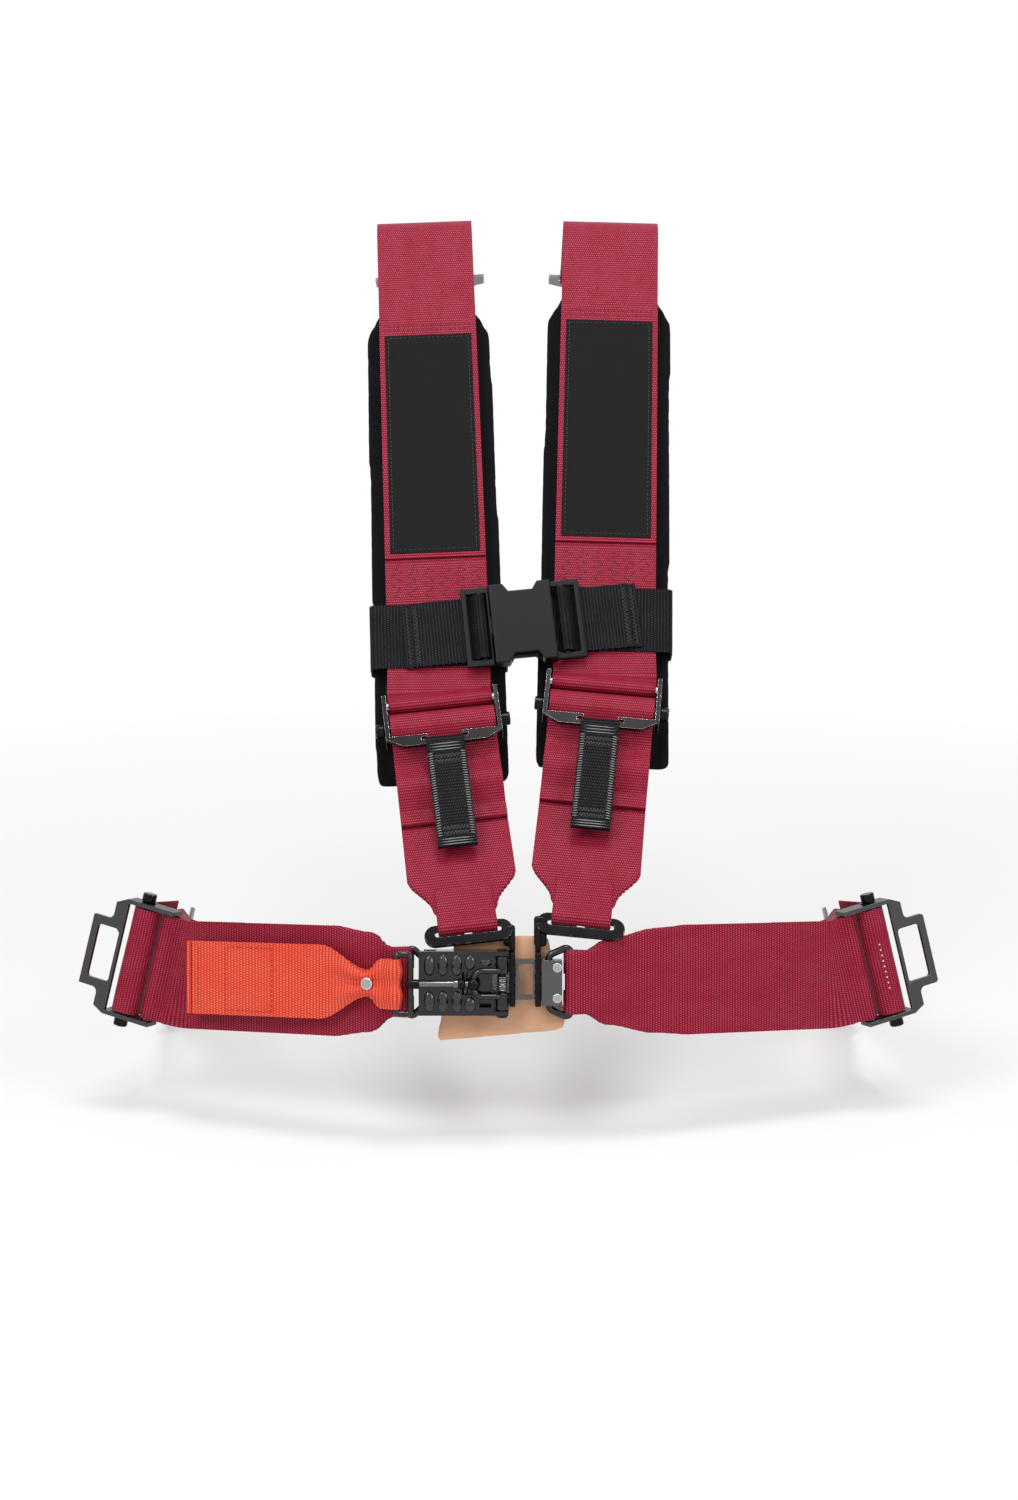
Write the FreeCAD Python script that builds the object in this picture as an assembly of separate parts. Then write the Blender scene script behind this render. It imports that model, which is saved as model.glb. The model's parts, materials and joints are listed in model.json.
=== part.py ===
import FreeCAD, Part
import math
import os

# A four-point, three-inch latch-and-link racing harness, in millimetres.
# It is built as it lies when it is worn: +X to the wearer's left, +Y back, +Z up.
# The origin is the middle of the link's tongue, where the four belts meet.

os.makedirs("parts", exist_ok=True)
Vector = FreeCAD.Vector

# ---- webbing -------------------------------------------------------------
webbing_width = 76.2
webbing = 1.4                 # thickness of every strap
sternum_width = 50.8
layer_gap = 0.3               # air left between two layers
bar_clearance = 0.3           # air between a bar and the webbing round it
side_room = 1.2               # air between a strap's edge and the metal beside it
sewn_lap = 70.0               # length of webbing sewn back on itself
gathered_width = 38.0         # where a wide strap bunches up in a narrow slot

# ---- where the harness lies ---------------------------------------------
buckle_lean = 12.0            # the buckle's face leans back, in degrees
hook_place = {"left": (-35.4, 14.0, -5.0), "right": (42.9, 18.5, -5.0)}   # up is from the latch
belt_foot = (116.7, 154.5)    # the shoulder belts lie in one plane, from here (Y, Z) ...
belt_top = (349.0, 529.0)     # ... to the edge they pass over behind the shoulders
adjuster_place = {"left": (-54.9, 0.0), "right": (60.7, 12.7)}   # X, and how far up the plane
top_spread = {"left": -75.5, "right": 75.3}
lap_adjuster_place = {"left": (-275.0, 62.0, -6.0), "right": (260.6, 62.0, -6.0)}
lap_sweep = 16.0              # the lap belt runs back as it goes outwards, in degrees
lap_lean = 11.0               # the lap adjuster leans out at its foot, in degrees
over_shoulder_drop = 15.0     # fall of the strap behind the seat, in degrees
over_shoulder_radius = 28.0
over_shoulder_length = 170.0
lap_anchor_drop = 20.0        # fall of the anchor strap, in degrees
lap_anchor_length = 150.0

# ---- three-bar adjuster --------------------------------------------------
slide_radius = 7.0
slide_travel = 3.0
slide_tenon = 3.0             # radius of the ends that ride in the ears
slide_head = 5.0              # radius of the finger ends
slide_head_length = 6.5
fixed_bar_radius = 3.5
fixed_bar_up = 19.0
ear_thickness = 3.0
ear_low = -6.0
ear_high = 9.0
ear_foot = -12.0
ear_top = 24.5
running_gap = 0.3
anvil_thickness = 3.0
anvil_edge = -10.5
shoulder_tab_end = -19.0
tab_rim = 3.5
tab_slot_width = 34.0
lap_tab_end = -35.0
lap_window = (39.0, 17.0)     # width and depth of the finger window

# ---- pull tab on each shoulder adjuster ----------------------------------
pull_tab_width = 28.0
pull_tab_length = 85.0

# ---- shoulder pads -------------------------------------------------------
pad_width = 98.0
pad_thickness = 12.5
pad_foot = -58.0
pad_top = 337.0
pad_chamfer = 22.0
strap_back = 8.5              # how far the strap lies behind the adjuster's bar
strap_settled = 30.0          # from here up it lies flat on the pad
sleeve_foot = 120.0
sleeve_top = 325.0
label_foot = 124.0
label_top = 312.0
label_width = 68.0
label_thickness = 0.6

# ---- latch, link and hooks ----------------------------------------------
# Places on the buckle are (across, up, out) from its middle.
plate = 3.0                   # thickness of the pressed steel
tongue_half = 14.0
tongue_reach = -40.0
window_half = 10.5
link_window = (0.0, 9.6)
link_fold = (15.8, 29.5)
link_fold_half = 15.5
link_rivet_place = (26.1, 10.5)
hook_slack = 0.5
hook_ring = {"left": (-6.6, -2.6), "right": (11.0, 15.0)}
hook_ring_wall = 4.0
hook_ring_depth = 5.2
hook_plate_length = 61.0
hook_plate_height = 16.0
hook_bar = 5.0
hook_slot = (46.0, 6.5)
hook_loop_lap = 28.0
latch_middle = -2.0
cheek_room = 5.0              # from the tongue's edge to the latch's cheek
latch_ends = (-68.6, -16.8)
floor_room = 0.5              # from the wire ring to the latch's floor
cover_room = 0.2              # from the curl round the ring to the cover
cheek_ends = (-57.0, -7.2)
lug_height = 11.2
cover_gap = 0.4               # from the cover's end to the lugs
lever_pin_place = (-11.5, 6.6)
lever_pin_radius = 2.5
pin_head = (1.5, 1.0)         # length and lip of the lever pin's heads
pin_gap = 0.06
lever_hub_radius = 4.6
lever_arm = (6.5, 11.0)       # inner and outer face of each arm, from the middle
lever_arm_room = 0.9          # from the cover to the lever's arms
lever_bar_out = -31.0
lever_bar_radius = 2.4
lever_recess = (-39.0, 7.8)
spring_radius = 3.8
spring_half = 5.5
pawl_pin_place = (-37.0, 3.8)
pawl_pin_radius = 1.2
pawl_nose = -18.5
pawl_half = 9.0
pawl_heights = (1.9, 4.3)
rivet_radius = 3.4
rivet_shank = 2.2
rivet_head = 1.3
rivet_lip = 1.0
latch_rivets = (-52.0, -42.5)
rivet_inset = 1.8             # from the tongue's edge in to the rivets
ring_wire = 2.5
ring_length = 15.0
latch_ring_place = -62.0
link_ring_place = 20.5
ring_outer_half = {"left": 27.0, "right": 25.0}
knuckle_half = {"left": 10.0, "right": link_fold_half}
lap_loop_lap = 22.0

# ---- release strap -------------------------------------------------------
release_width = 50.8
release_length = 156.0
release_neck = (20.0, 18.0)   # how far from the rod, and how wide
release_full = 56.0
release_fan = 34.0
release_bar = (-84.0, 3.5)     # across, and out from the cover
release_yoke = -74.0
release_end = (-243.0, 36.0, -10.0)
rod_radius = 2.2
rod_eye = (4.5, 2.2)          # half length and wall of the eye round the lever's bar
yoke_room = 1.0               # from the strap's edge to the yoke
bolt_radius = 2.5
bolt_head = (4.2, 2.6)        # radius and height
bolt_end = 0.2                # the bolt stands this far out of its nut
nut_width = 8.0
nut_height = 3.0

# ---- buckle pad ----------------------------------------------------------
buckle_pad_corners = ((-57, -44), (29, -36), (33, -31), (20, 29), (-44, 29))
buckle_pad_thickness = 6.0
soft_gap = 0.4

# ---- sternum strap and buckle --------------------------------------------
sternum_height = 56.0         # up the shoulder strap, from the adjuster's bar
sternum_half = 31.5
sternum_gap = 0.4             # from the pad loops to the back of the buckle
buckle_depth = 11.0
buckle_wall = 2.2
female_ends = (-22.0, 24.0)
male_shoulder = 22.5
frame_reach = {"left": 43.0, "right": 45.5}
frame_bar = 4.0
frame_rail = 5.0
frame_web = 1.8               # cross-piece between the buckle and the first opening
bar_spacing = 13.5            # from the frame's end to its middle bar
sternum_tail = 88.0
guide_half = 7.0
guide_end = -8.0
prong_place = 23.5            # middle of a prong, from the buckle's middle
prong_width = 7.0
prong_length = 33.0
prong_gap = 0.6               # from a prong's root to the shoulder it bends from
room_side = 0.6               # how much thicker the buckle's edges are than its faces
notch = ((-12.4, 33.0), (-7.3, 25.0), (10.2, 25.0), (15.3, 33.0))
ring_slack = 0.5

# ---- anchor plates -------------------------------------------------------
anchor_bar = 8.0
anchor_slot = 9.5
anchor_rail = 9.0
anchor_hole_radius = 5.75
anchor_hole_out = 42.0
anchor_nose = 17.0


def frame(origin, across, along):
    """A local frame: x across the strap, y along it, z out of its face."""
    along = Vector(*along).normalize()
    across = Vector(*across)
    across = (across - along * across.dot(along)).normalize()
    out = across.cross(along)
    return FreeCAD.Placement(FreeCAD.Matrix(
        across.x, along.x, out.x, origin[0],
        across.y, along.y, out.y, origin[1],
        across.z, along.z, out.z, origin[2],
        0, 0, 0, 1))


def axes(place):
    turn = place.Rotation
    return [turn.multVec(Vector(*axis)) for axis in ((1, 0, 0), (0, 1, 0), (0, 0, 1))]


def shifted(place, across, along, out):
    origin = place.multVec(Vector(across, along, out))
    return FreeCAD.Placement(origin, place.Rotation)


def placed(shape, place):
    copy = shape.copy()
    copy.Placement = place.multiply(copy.Placement)
    return copy


def block(low, high):
    size = [b - a for a, b in zip(low, high)]
    return Part.makeBox(*size, Vector(*low))


def rod(start, end, radius):
    start, end = Vector(*start), Vector(*end)
    return Part.makeCylinder(radius, (end - start).Length, start, end - start)


def prism(corners, low, high):
    """A plate whose outline is given across and along, between two heights."""
    ring = [Vector(a, b, low) for a, b in corners]
    return Part.Face(Part.makePolygon(ring + ring[:1])).extrude(Vector(0, 0, high - low))


def side_edges(points, offset):
    """One face of a band: straight runs and tangent arcs, offset to the left."""
    edges, last = [], None
    flat = [Vector(v, w, 0) for v, w, _ in points]
    for index in range(1, len(points) - 1):
        before = (flat[index] - flat[index - 1]).normalize()
        after = (flat[index + 1] - flat[index]).normalize()
        left = Vector(-before.y, before.x, 0)
        side = 1 if left.dot(after) > 0 else -1
        radius = points[index][2]
        reach = radius * math.tan(before.getAngle(after) / 2)
        centre = flat[index] - before * reach + left * side * radius
        true = radius - side * offset
        start = centre + (flat[index] - before * reach - centre) * (true / radius)
        finish = centre + (flat[index] + after * reach - centre) * (true / radius)
        middle = centre + (flat[index] - centre).normalize() * true
        if last is None:
            last = flat[0] + left * offset
        edges.append((last, start))
        edges.append((start, middle, finish))
        last = finish
    final = Vector(-after.y, after.x, 0) * offset + flat[-1]
    return edges + [(last, final)]


def band(points, width, across=0.0, thickness=webbing):
    """Webbing with a side profile of (along, out, bend radius) points."""
    near = side_edges(points, thickness / 2)
    far = side_edges(points, -thickness / 2)
    edges = near + [(near[-1][-1], far[-1][-1])] + far + [(far[0][0], near[0][0])]
    made = []
    for edge in edges:
        corners = [Vector(across - width / 2, p.x, p.y) for p in edge]
        if (corners[0] - corners[-1]).Length < 1e-6:
            continue
        made.append(Part.makeLine(*corners) if len(corners) == 2 else Part.Arc(*corners).toShape())
    outline = Part.Wire(Part.__sortEdges__(made))
    return Part.Face(outline).extrude(Vector(width, 0, 0))


def loop(centre, heading, radius, lap):
    """Side profile of webbing that goes round a bar and is sewn back on itself."""
    d = Vector(heading[0], heading[1], 0).normalize()
    n = Vector(-d.y, d.x, 0)
    c = Vector(centre[0], centre[1], 0)
    ease = radius + 6
    places = [(c - d * ease + n * spread, 3), (c - d * 0.8 * radius + n * radius, 3),
              (c + d * radius + n * radius, radius), (c + d * radius - n * radius, radius),
              (c - d * 0.8 * radius - n * radius, 3), (c - d * ease - n * spread, 3),
              (c - d * lap - n * spread, 0)]
    return [(p.x, p.y, r) for p, r in places]


def section(place, width):
    half, deep = width / 2, webbing / 2
    corners = [Vector(-half, 0, -deep), Vector(half, 0, -deep), Vector(half, 0, deep), Vector(-half, 0, deep)]
    ring = [place.multVec(corner) for corner in corners]
    return Part.makePolygon(ring + ring[:1])


def between(first, last, share):
    one, two = axes(first), axes(last)
    origin = first.Base * (1 - share) + last.Base * share
    across = one[0] * (1 - share) + two[0] * share
    along = one[1] * (1 - share) + two[1] * share
    return frame(tuple(origin), tuple(across), tuple(along))


def mirrored(points):
    return [(along, -out, radius) for along, out, radius in points]


def run(*stations):
    """A flat run of webbing through frames that may differ in turn and width."""
    return Part.makeLoft([section(place, width) for place, width in stations], True, True)


def one(*shapes):
    whole = shapes[0].fuse(list(shapes[1:])).removeSplitter()
    return whole


# ---- frames --------------------------------------------------------------
lean = math.radians(buckle_lean)
buckle = frame((0, 0, 0), (1, 0, 0), (0, math.sin(lean), math.cos(lean)))
sides = {"left": -1, "right": 1}
loop_radius = fixed_bar_radius + bar_clearance + webbing / 2
roll_radius = slide_radius + bar_clearance + webbing / 2
roll_top = roll_radius + slide_travel
hook_loop_radius = math.hypot(hook_bar, plate) / 2 + bar_clearance + webbing / 2
layer = webbing + layer_gap
spread = layer / 2
loop_front = -strap_back + layer + webbing / 2 + layer_gap
sternum_back = loop_front + webbing + sternum_gap
knuckle = ring_wire + running_gap + plate
latch_half = tongue_half + cheek_room + plate
latch_back = -ring_wire - floor_room - plate
latch_front = knuckle + cover_room + plate
lever_arm_heights = (latch_front + lever_arm_room, latch_front + lever_arm_room + plate)
hook_ring_half = tongue_half + hook_slack + hook_ring_wall
anchor_loop = math.hypot(anchor_bar, plate) / 2 + bar_clearance + webbing / 2


def strap_top(side):
    return Vector(top_spread[side], *belt_top)


def shoulder_frames(side):
    """Frames of the hook's bar, of the adjuster's slide bar and of the upper strap."""
    right, above, out = hook_place[side]
    hook = buckle.multVec(Vector(right, latch_half + above, out))
    across, up_plane = adjuster_place[side]
    foot = Vector(across, *belt_foot)
    adjuster = foot + (Vector(across, *belt_top) - foot).normalize() * up_plane
    lower = frame(tuple(hook), (1, 0, 0), tuple(adjuster - hook))
    slide = FreeCAD.Placement(adjuster, lower.Rotation)
    fixed = slide.multVec(Vector(0, fixed_bar_up, 0))
    upper = frame(tuple(fixed), (1, 0, 0), tuple(strap_top(side) - fixed))
    return lower, slide, upper


def lap_frames(side):
    """Frame of the lap adjuster's slide bar: along points to the buckle."""
    sweep, tilt = math.radians(lap_sweep), math.radians(lap_lean)
    inward = Vector(-sides[side] * math.cos(sweep), -math.sin(sweep), 0)
    up = axes(buckle)[1]
    up = (up - inward * up.dot(inward)).normalize()
    along = inward * math.cos(tilt) - up * math.sin(tilt)
    across = (up * math.cos(tilt) + inward * math.sin(tilt)) * sides[side]
    return frame(lap_adjuster_place[side], tuple(across), tuple(along))


# ---- pieces that both kinds of adjuster share ----------------------------
def adjuster_frame(tab_end, opening):
    inside = webbing_width / 2 + side_room
    outside = inside + ear_thickness
    parts = []
    for sign in (-1, 1):
        near, far = sorted((sign * inside, sign * outside))
        ear = block((near, ear_foot, ear_low), (far, ear_top, ear_high))
        slot = slide_tenon + running_gap
        hole = block((near - 1, 0, -slot), (far + 1, slide_travel, slot))
        ends = [rod((near - 1, v, 0), (far + 1, v, 0), slot) for v in (0, slide_travel)]
        parts.append(ear.cut(hole.fuse(ends)))
    low = ear_high - anvil_thickness
    anvil = prism(((-outside, ear_foot), (-outside, anvil_edge), (outside, anvil_edge),
                   (outside, ear_foot), (outside - 12, tab_end), (12 - outside, tab_end)),
                  low, ear_high)
    parts.append(anvil.cut(opening))
    parts.append(rod((-outside, fixed_bar_up, 0), (outside, fixed_bar_up, 0), fixed_bar_radius))
    return one(*parts)


def slide_bar():
    inside = webbing_width / 2 + side_room
    outside = inside + ear_thickness + running_gap
    reach = outside + slide_head_length
    core = rod((running_gap - inside, 0, 0), (inside - running_gap, 0, 0), slide_radius)
    tenon = rod((-reach, 0, 0), (reach, 0, 0), slide_tenon)
    heads = [rod((s * outside, 0, 0), (s * reach, 0, 0), slide_head) for s in (-1, 1)]
    return one(core, tenon, *heads)


def anchor_plate():
    half = webbing_width / 2 + side_room
    outer = half + anchor_rail
    far = anchor_bar / 2 + anchor_slot
    body = prism(((-outer, -anchor_bar / 2), (outer, -anchor_bar / 2), (outer, far + 4),
                  (anchor_nose, anchor_hole_out), (-anchor_nose, anchor_hole_out), (-outer, far + 4)),
                 -plate / 2, plate / 2)
    nose = Part.makeCylinder(anchor_nose, plate, Vector(0, anchor_hole_out, -plate / 2))
    hole = Part.makeCylinder(anchor_hole_radius, plate * 3, Vector(0, anchor_hole_out, -plate * 1.5))
    slot = block((-half, anchor_bar / 2, -plate), (half, far, plate))
    return one(body, nose).cut(hole.fuse(slot))


nodes = {}
pivots = {}                   # where each joint or bolt is: a point and an axis

# ---- shoulder belts ------------------------------------------------------
for side in sides:
    lower, slide, upper = shoulder_frames(side)

    slot_top = shoulder_tab_end + tab_rim
    tab_slot = block((-tab_slot_width / 2, slot_top, 0), (tab_slot_width / 2, anvil_edge - 2.2, 20))
    nodes[side + "_shoulder_adjuster"] = placed(adjuster_frame(shoulder_tab_end, tab_slot), slide)
    nodes[side + "_shoulder_slide_bar"] = placed(slide_bar(), slide)

    # pull tab: a strip of webbing folded round the rim of the adjuster's tab
    rim = shifted(slide, 0, shoulder_tab_end + tab_rim / 2, ear_high - anvil_thickness / 2)
    rim_loop = math.hypot(tab_rim, anvil_thickness) / 2 + bar_clearance + webbing / 2
    folded = loop((0, 0), (1, 0), rim_loop, pull_tab_length)
    start = (-pull_tab_length, folded[0][1], 0)
    nodes[side + "_pull_tab"] = placed(band([start] + folded, pull_tab_width), rim)
    pivots[side + "_pull_tab"] = (rim.Base, axes(rim)[0] * -1)
    pivots[side + "_shoulder_slide_bar"] = (slide.Base, axes(slide)[1])

    # lower strap: hook loop, load run, roll over the slide bar and the free tail
    length = (slide.Base - lower.Base).Length
    run_start, run_end = 30.0, length - 62.0
    hook_loop = [(run_start, -spread, 0)] + loop((0, 0), (-1, 0), hook_loop_radius, hook_loop_lap)
    tail = -roll_radius + webbing + layer_gap
    roll = [(-62.0, -roll_radius, 0), (roll_top, -roll_radius, roll_radius),
            (roll_top, roll_radius, roll_radius), (-3.0, roll_radius, 3),
            (-14.0, 2.4, 5), (-36.0, tail, 8), (-74.0, tail, 0)]
    foot, head = shifted(lower, 0, run_start, -spread), shifted(slide, 0, -62.0, -roll_radius)
    load = run((foot, gathered_width), (between(foot, head, 0.45), webbing_width), (head, webbing_width))
    nodes[side + "_lower_strap"] = one(
        placed(band(hook_loop, gathered_width), lower),
        load, placed(band(roll, webbing_width), slide))

    # upper strap: sewn round the fixed bar, over the shoulder and to its anchor
    rise = (strap_top(side) - upper.Base).Length
    fall = math.radians(over_shoulder_drop)
    climb = math.asin(axes(upper)[1].z)
    heading = Vector(math.cos(climb + fall), -math.sin(climb + fall), 0)
    corner = Vector(rise, -strap_back, 0)
    bar = corner + heading * over_shoulder_length - Vector(-heading.y, heading.x, 0) * layer / 2
    fixed = shifted(slide, 0, fixed_bar_up, 0)
    leave = loop_radius + 6.5
    level = -loop_radius - 0.1
    bar_loop = [(leave, level, 0), (-loop_radius, -loop_radius, loop_radius),
                (-loop_radius, loop_radius, loop_radius), (2.0, loop_radius, 3), (leave, level + layer, 0)]
    back = loop(tuple(bar)[:2], tuple(heading)[:2], anchor_loop, sewn_lap)
    rear = [(strap_settled, -strap_back, 0), (corner.x, corner.y, over_shoulder_radius)] + back
    front = block((-webbing_width / 2, strap_settled, layer - strap_back - webbing / 2),
                  (webbing_width / 2, sleeve_foot - 4, layer - strap_back + webbing / 2))
    steps = [run((shifted(fixed, 0, leave, level + rise_by), webbing_width),
                 (shifted(upper, 0, strap_settled, rise_by - strap_back), webbing_width))
             for rise_by in (0, layer)]
    nodes[side + "_shoulder_strap"] = one(
        placed(band(bar_loop, webbing_width), fixed), *steps,
        placed(band(rear, webbing_width), upper), placed(front, upper))
    anchor = frame(tuple(upper.multVec(Vector(0, bar.x, bar.y))), tuple(axes(upper)[0]),
                   tuple(upper.Rotation.multVec(Vector(0, heading.x, heading.y))))
    nodes[side + "_shoulder_anchor"] = placed(anchor_plate(), anchor)
    pivots[side + "_shoulder_anchor"] = (anchor.Base, axes(anchor)[0])
    pivots[side + "_shoulder_bolt"] = (anchor.multVec(Vector(0, anchor_hole_out, 0)), axes(anchor)[2])

    # pad, sleeve and blank label
    pad_face = -strap_back - webbing / 2 - soft_gap
    half, cut = pad_width / 2, pad_chamfer
    outline = ((-half, pad_foot), (half, pad_foot), (half, pad_top - cut), (half - cut / 2, pad_top),
               (cut / 2 - half, pad_top), (-half, pad_top - cut))
    nodes[side + "_shoulder_pad"] = placed(prism(outline, pad_face - pad_thickness, pad_face), upper)
    face = layer - strap_back
    half = webbing_width / 2
    nodes[side + "_pad_sleeve"] = placed(block((-half, sleeve_foot, face - webbing / 2),
                                               (half, sleeve_top, face + webbing / 2)), upper)
    low = face + webbing / 2
    nodes[side + "_pad_label"] = placed(block((-label_width / 2, label_foot, low),
                                              (label_width / 2, label_top, low + label_thickness)), upper)

    # slotted hook: a plate for the webbing and a ring that slips over the tongue
    wide, tall = hook_slot
    top = hook_bar / 2
    eye = block((-hook_plate_length / 2, top - hook_plate_height, -plate / 2),
                (hook_plate_length / 2, top, plate / 2))
    eye = eye.cut(block((-wide / 2, -top - tall, -plate), (wide / 2, -top, plate)))
    near, far = hook_ring[side]
    ring = block((near, -hook_ring_half, -hook_ring_depth), (far, hook_ring_half, hook_ring_depth))
    ring = ring.cut(block((near - 1, -tongue_half - hook_slack, -plate / 2 - hook_slack),
                          (far + 1, tongue_half + hook_slack, plate / 2 + hook_slack)))
    arm_top = latch_half + hook_place[side][1] - 2
    arm = block((near, hook_ring_half - 2, -hook_ring_depth), (far, arm_top, -plate / 2))
    nodes[side + "_hook"] = one(placed(eye, lower), placed(one(ring, arm), buckle))

# ---- lap belts -----------------------------------------------------------
for side in sides:
    sign = sides[side]
    slide = lap_frames(side)
    wide, deep = lap_window
    window = block((-wide / 2, lap_tab_end + 5.0, 0), (wide / 2, lap_tab_end + 5.0 + deep, 20))
    nodes[side + "_lap_adjuster"] = placed(adjuster_frame(lap_tab_end, window), slide)
    nodes[side + "_lap_slide_bar"] = placed(slide_bar(), slide)
    pivots[side + "_lap_slide_bar"] = (slide.Base, axes(slide)[1])

    # anchor strap: comes from behind, over the slide bar, and its tail goes back again
    roll = [(roll_top, -34.0, 0), (roll_top, roll_radius, roll_radius),
            (-roll_radius, roll_radius, roll_radius), (-roll_radius, -30.0, 20), (-4.0, -60.0, 0)]
    fall = math.radians(lap_anchor_drop)
    heading = Vector(sign * 0.12, math.cos(fall), -math.sin(fall))
    start = shifted(slide, 0, roll_top, -34.0)
    bar_place = start.Base + heading * lap_anchor_length
    across = axes(slide)[0]
    anchor = frame(tuple(bar_place), tuple(across), tuple(heading))
    turned = frame(tuple(start.Base), tuple(across), tuple(axes(slide)[2] * -1))
    end_loop = loop((0, 0), (1, 0), anchor_loop, sewn_lap)
    run_end = -sewn_lap - 5
    nodes[side + "_anchor_strap"] = one(
        placed(band(roll, webbing_width), slide),
        run((turned, webbing_width), (shifted(anchor, 0, run_end, spread), webbing_width)),
        placed(band([(run_end, spread, 0)] + end_loop, webbing_width), anchor))
    nodes[side + "_lap_anchor"] = placed(anchor_plate(), anchor)
    pivots[side + "_lap_anchor"] = (anchor.Base, axes(anchor)[0])
    pivots[side + "_lap_bolt"] = (anchor.multVec(Vector(0, anchor_hole_out, 0)), axes(anchor)[2])

    # lap strap: sewn round the adjuster's fixed bar at one end and the wire ring at the other
    fixed = shifted(slide, 0, fixed_bar_up, 0)
    ring_place = latch_ring_place if side == "left" else link_ring_place
    ring_bar = ring_place + sign * ring_length
    up, right = axes(buckle)[1], axes(buckle)[0]
    inner = frame(tuple(buckle.multVec(Vector(ring_bar, latch_middle, 0))),
                  tuple(up * -sign), tuple(right * sign))
    wire_loop = ring_wire + bar_clearance + webbing / 2
    inner_loop = [(lap_loop_lap + 2, spread, 0)]
    inner_loop += mirrored(loop((0, 0), (-1, 0), wire_loop, lap_loop_lap))
    outer_loop = [(sewn_lap, spread, 0)] + mirrored(loop((0, 0), (-1, 0), loop_radius, sewn_lap - 2))
    near = shifted(inner, 0, lap_loop_lap + 2, spread)
    far = shifted(fixed, 0, sewn_lap, spread)
    far = frame(tuple(far.Base), tuple(axes(far)[0] * -1), tuple(axes(far)[1] * -1))
    nodes[side + "_lap_strap"] = one(
        placed(band(inner_loop, gathered_width), inner),
        run((near, gathered_width), (between(near, far, 0.4), webbing_width), (far, webbing_width)),
        placed(band(outer_loop, webbing_width), fixed))

    # wire ring that the lap strap pulls on
    half, outer = knuckle_half[side] + ring_wire + 0.5, ring_outer_half[side]
    corners = [(ring_place, latch_middle - half, 0), (ring_bar, latch_middle - outer, 0),
               (ring_bar, latch_middle + outer, 0), (ring_place, latch_middle + half, 0)]
    wires = [rod(a, b, ring_wire) for a, b in zip(corners, corners[1:] + corners[:1])]
    balls = [Part.makeSphere(ring_wire, Vector(*corner)) for corner in corners]
    nodes[{"left": "latch_ring", "right": "link_ring"}[side]] = placed(one(*wires, *balls), buckle)

# ---- latch ---------------------------------------------------------------
low, high = latch_middle - latch_half, latch_middle + latch_half
pin_u, pin_w = lever_pin_place
rivets = [(u, latch_middle + s * (tongue_half - rivet_inset)) for s in (1, -1) for u in latch_rivets]
rivet_holes = [rod((u, v, -50), (u, v, 50), rivet_shank) for u, v in rivets]


def upright(u, v_low, v_high, w, radius):
    return rod((u, v_low, w), (u, v_high, w), radius)


floor = block((latch_ends[0] + 3, low, latch_back), (cheek_ends[1], high, latch_back + plate))
cheeks = [block((cheek_ends[0], v, latch_back), (cheek_ends[1], v + plate, latch_front - plate))
          for v in (low, high - plate)]
lugs = [block((latch_ends[1] + cover_gap, v, 0), (cheek_ends[1], v + plate, lug_height))
        for v in (low, high - plate)]
curl_low, curl_high = latch_middle - knuckle_half["left"], latch_middle + knuckle_half["left"]
curl = upright(latch_ring_place, curl_low, curl_high, 0, knuckle)
base = one(floor, *cheeks, *lugs, curl)
base = base.cut(upright(latch_ring_place, low - 1, high + 1, 0, ring_wire + running_gap))
base = base.cut(upright(pin_u, low - 1, high + 1, pin_w, lever_pin_radius))
base = base.cut(upright(pawl_pin_place[0], low - 1, high + 1, pawl_pin_place[1], pawl_pin_radius))
posts = one(base, *[rod((u, v, latch_back), (u, v, latch_front - plate), rivet_radius) for u, v in rivets])
nodes["latch_base"] = placed(posts.cut(rivet_holes), buckle)

cover = block((latch_ends[0], low, latch_front - plate), (latch_ends[1], high, latch_front))
recess = block((lever_recess[0], latch_middle - lever_recess[1], 0),
               (0, latch_middle + lever_recess[1], 50))
nodes["latch_cover"] = placed(cover.cut([recess] + rivet_holes), buckle)
nodes["latch_rivets"] = placed(Part.makeCompound([
    one(rod((u, v, latch_back), (u, v, latch_front), rivet_shank),
        rod((u, v, latch_front), (u, v, latch_front + rivet_head), rivet_radius))
    for u, v in rivets]), buckle)
nodes["lever_pin"] = placed(one(
    upright(pin_u, low - pin_head[0], high + pin_head[0], pin_w, lever_pin_radius),
    upright(pin_u, low - pin_head[0], low, pin_w, lever_pin_radius + pin_head[1]),
    upright(pin_u, high, high + pin_head[0], pin_w, lever_pin_radius + pin_head[1])), buckle)
coil = upright(pin_u, latch_middle - spring_half, latch_middle + spring_half, pin_w, spring_radius)
nodes["lever_spring"] = placed(coil.cut(
    upright(pin_u, low, high, pin_w, lever_pin_radius + pin_gap)), buckle)

arm_in, arm_out = lever_arm
arms = []
for s in (-1, 1):
    near, far = sorted((latch_middle + s * arm_in, latch_middle + s * arm_out))
    arms.append(block((lever_bar_out - 3.5, near, lever_arm_heights[0]), (pin_u, far, lever_arm_heights[1])))
    arms.append(upright(pin_u, near, far, pin_w, lever_hub_radius))
bar_w = sum(lever_arm_heights) / 2
arms.append(upright(lever_bar_out, latch_middle - arm_in - 1, latch_middle + arm_in + 1,
                    bar_w, lever_bar_radius))
lever = one(*arms).cut(upright(pin_u, low, high, pin_w, lever_pin_radius + pin_gap))
nodes["latch_lever"] = placed(lever, buckle)

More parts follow.
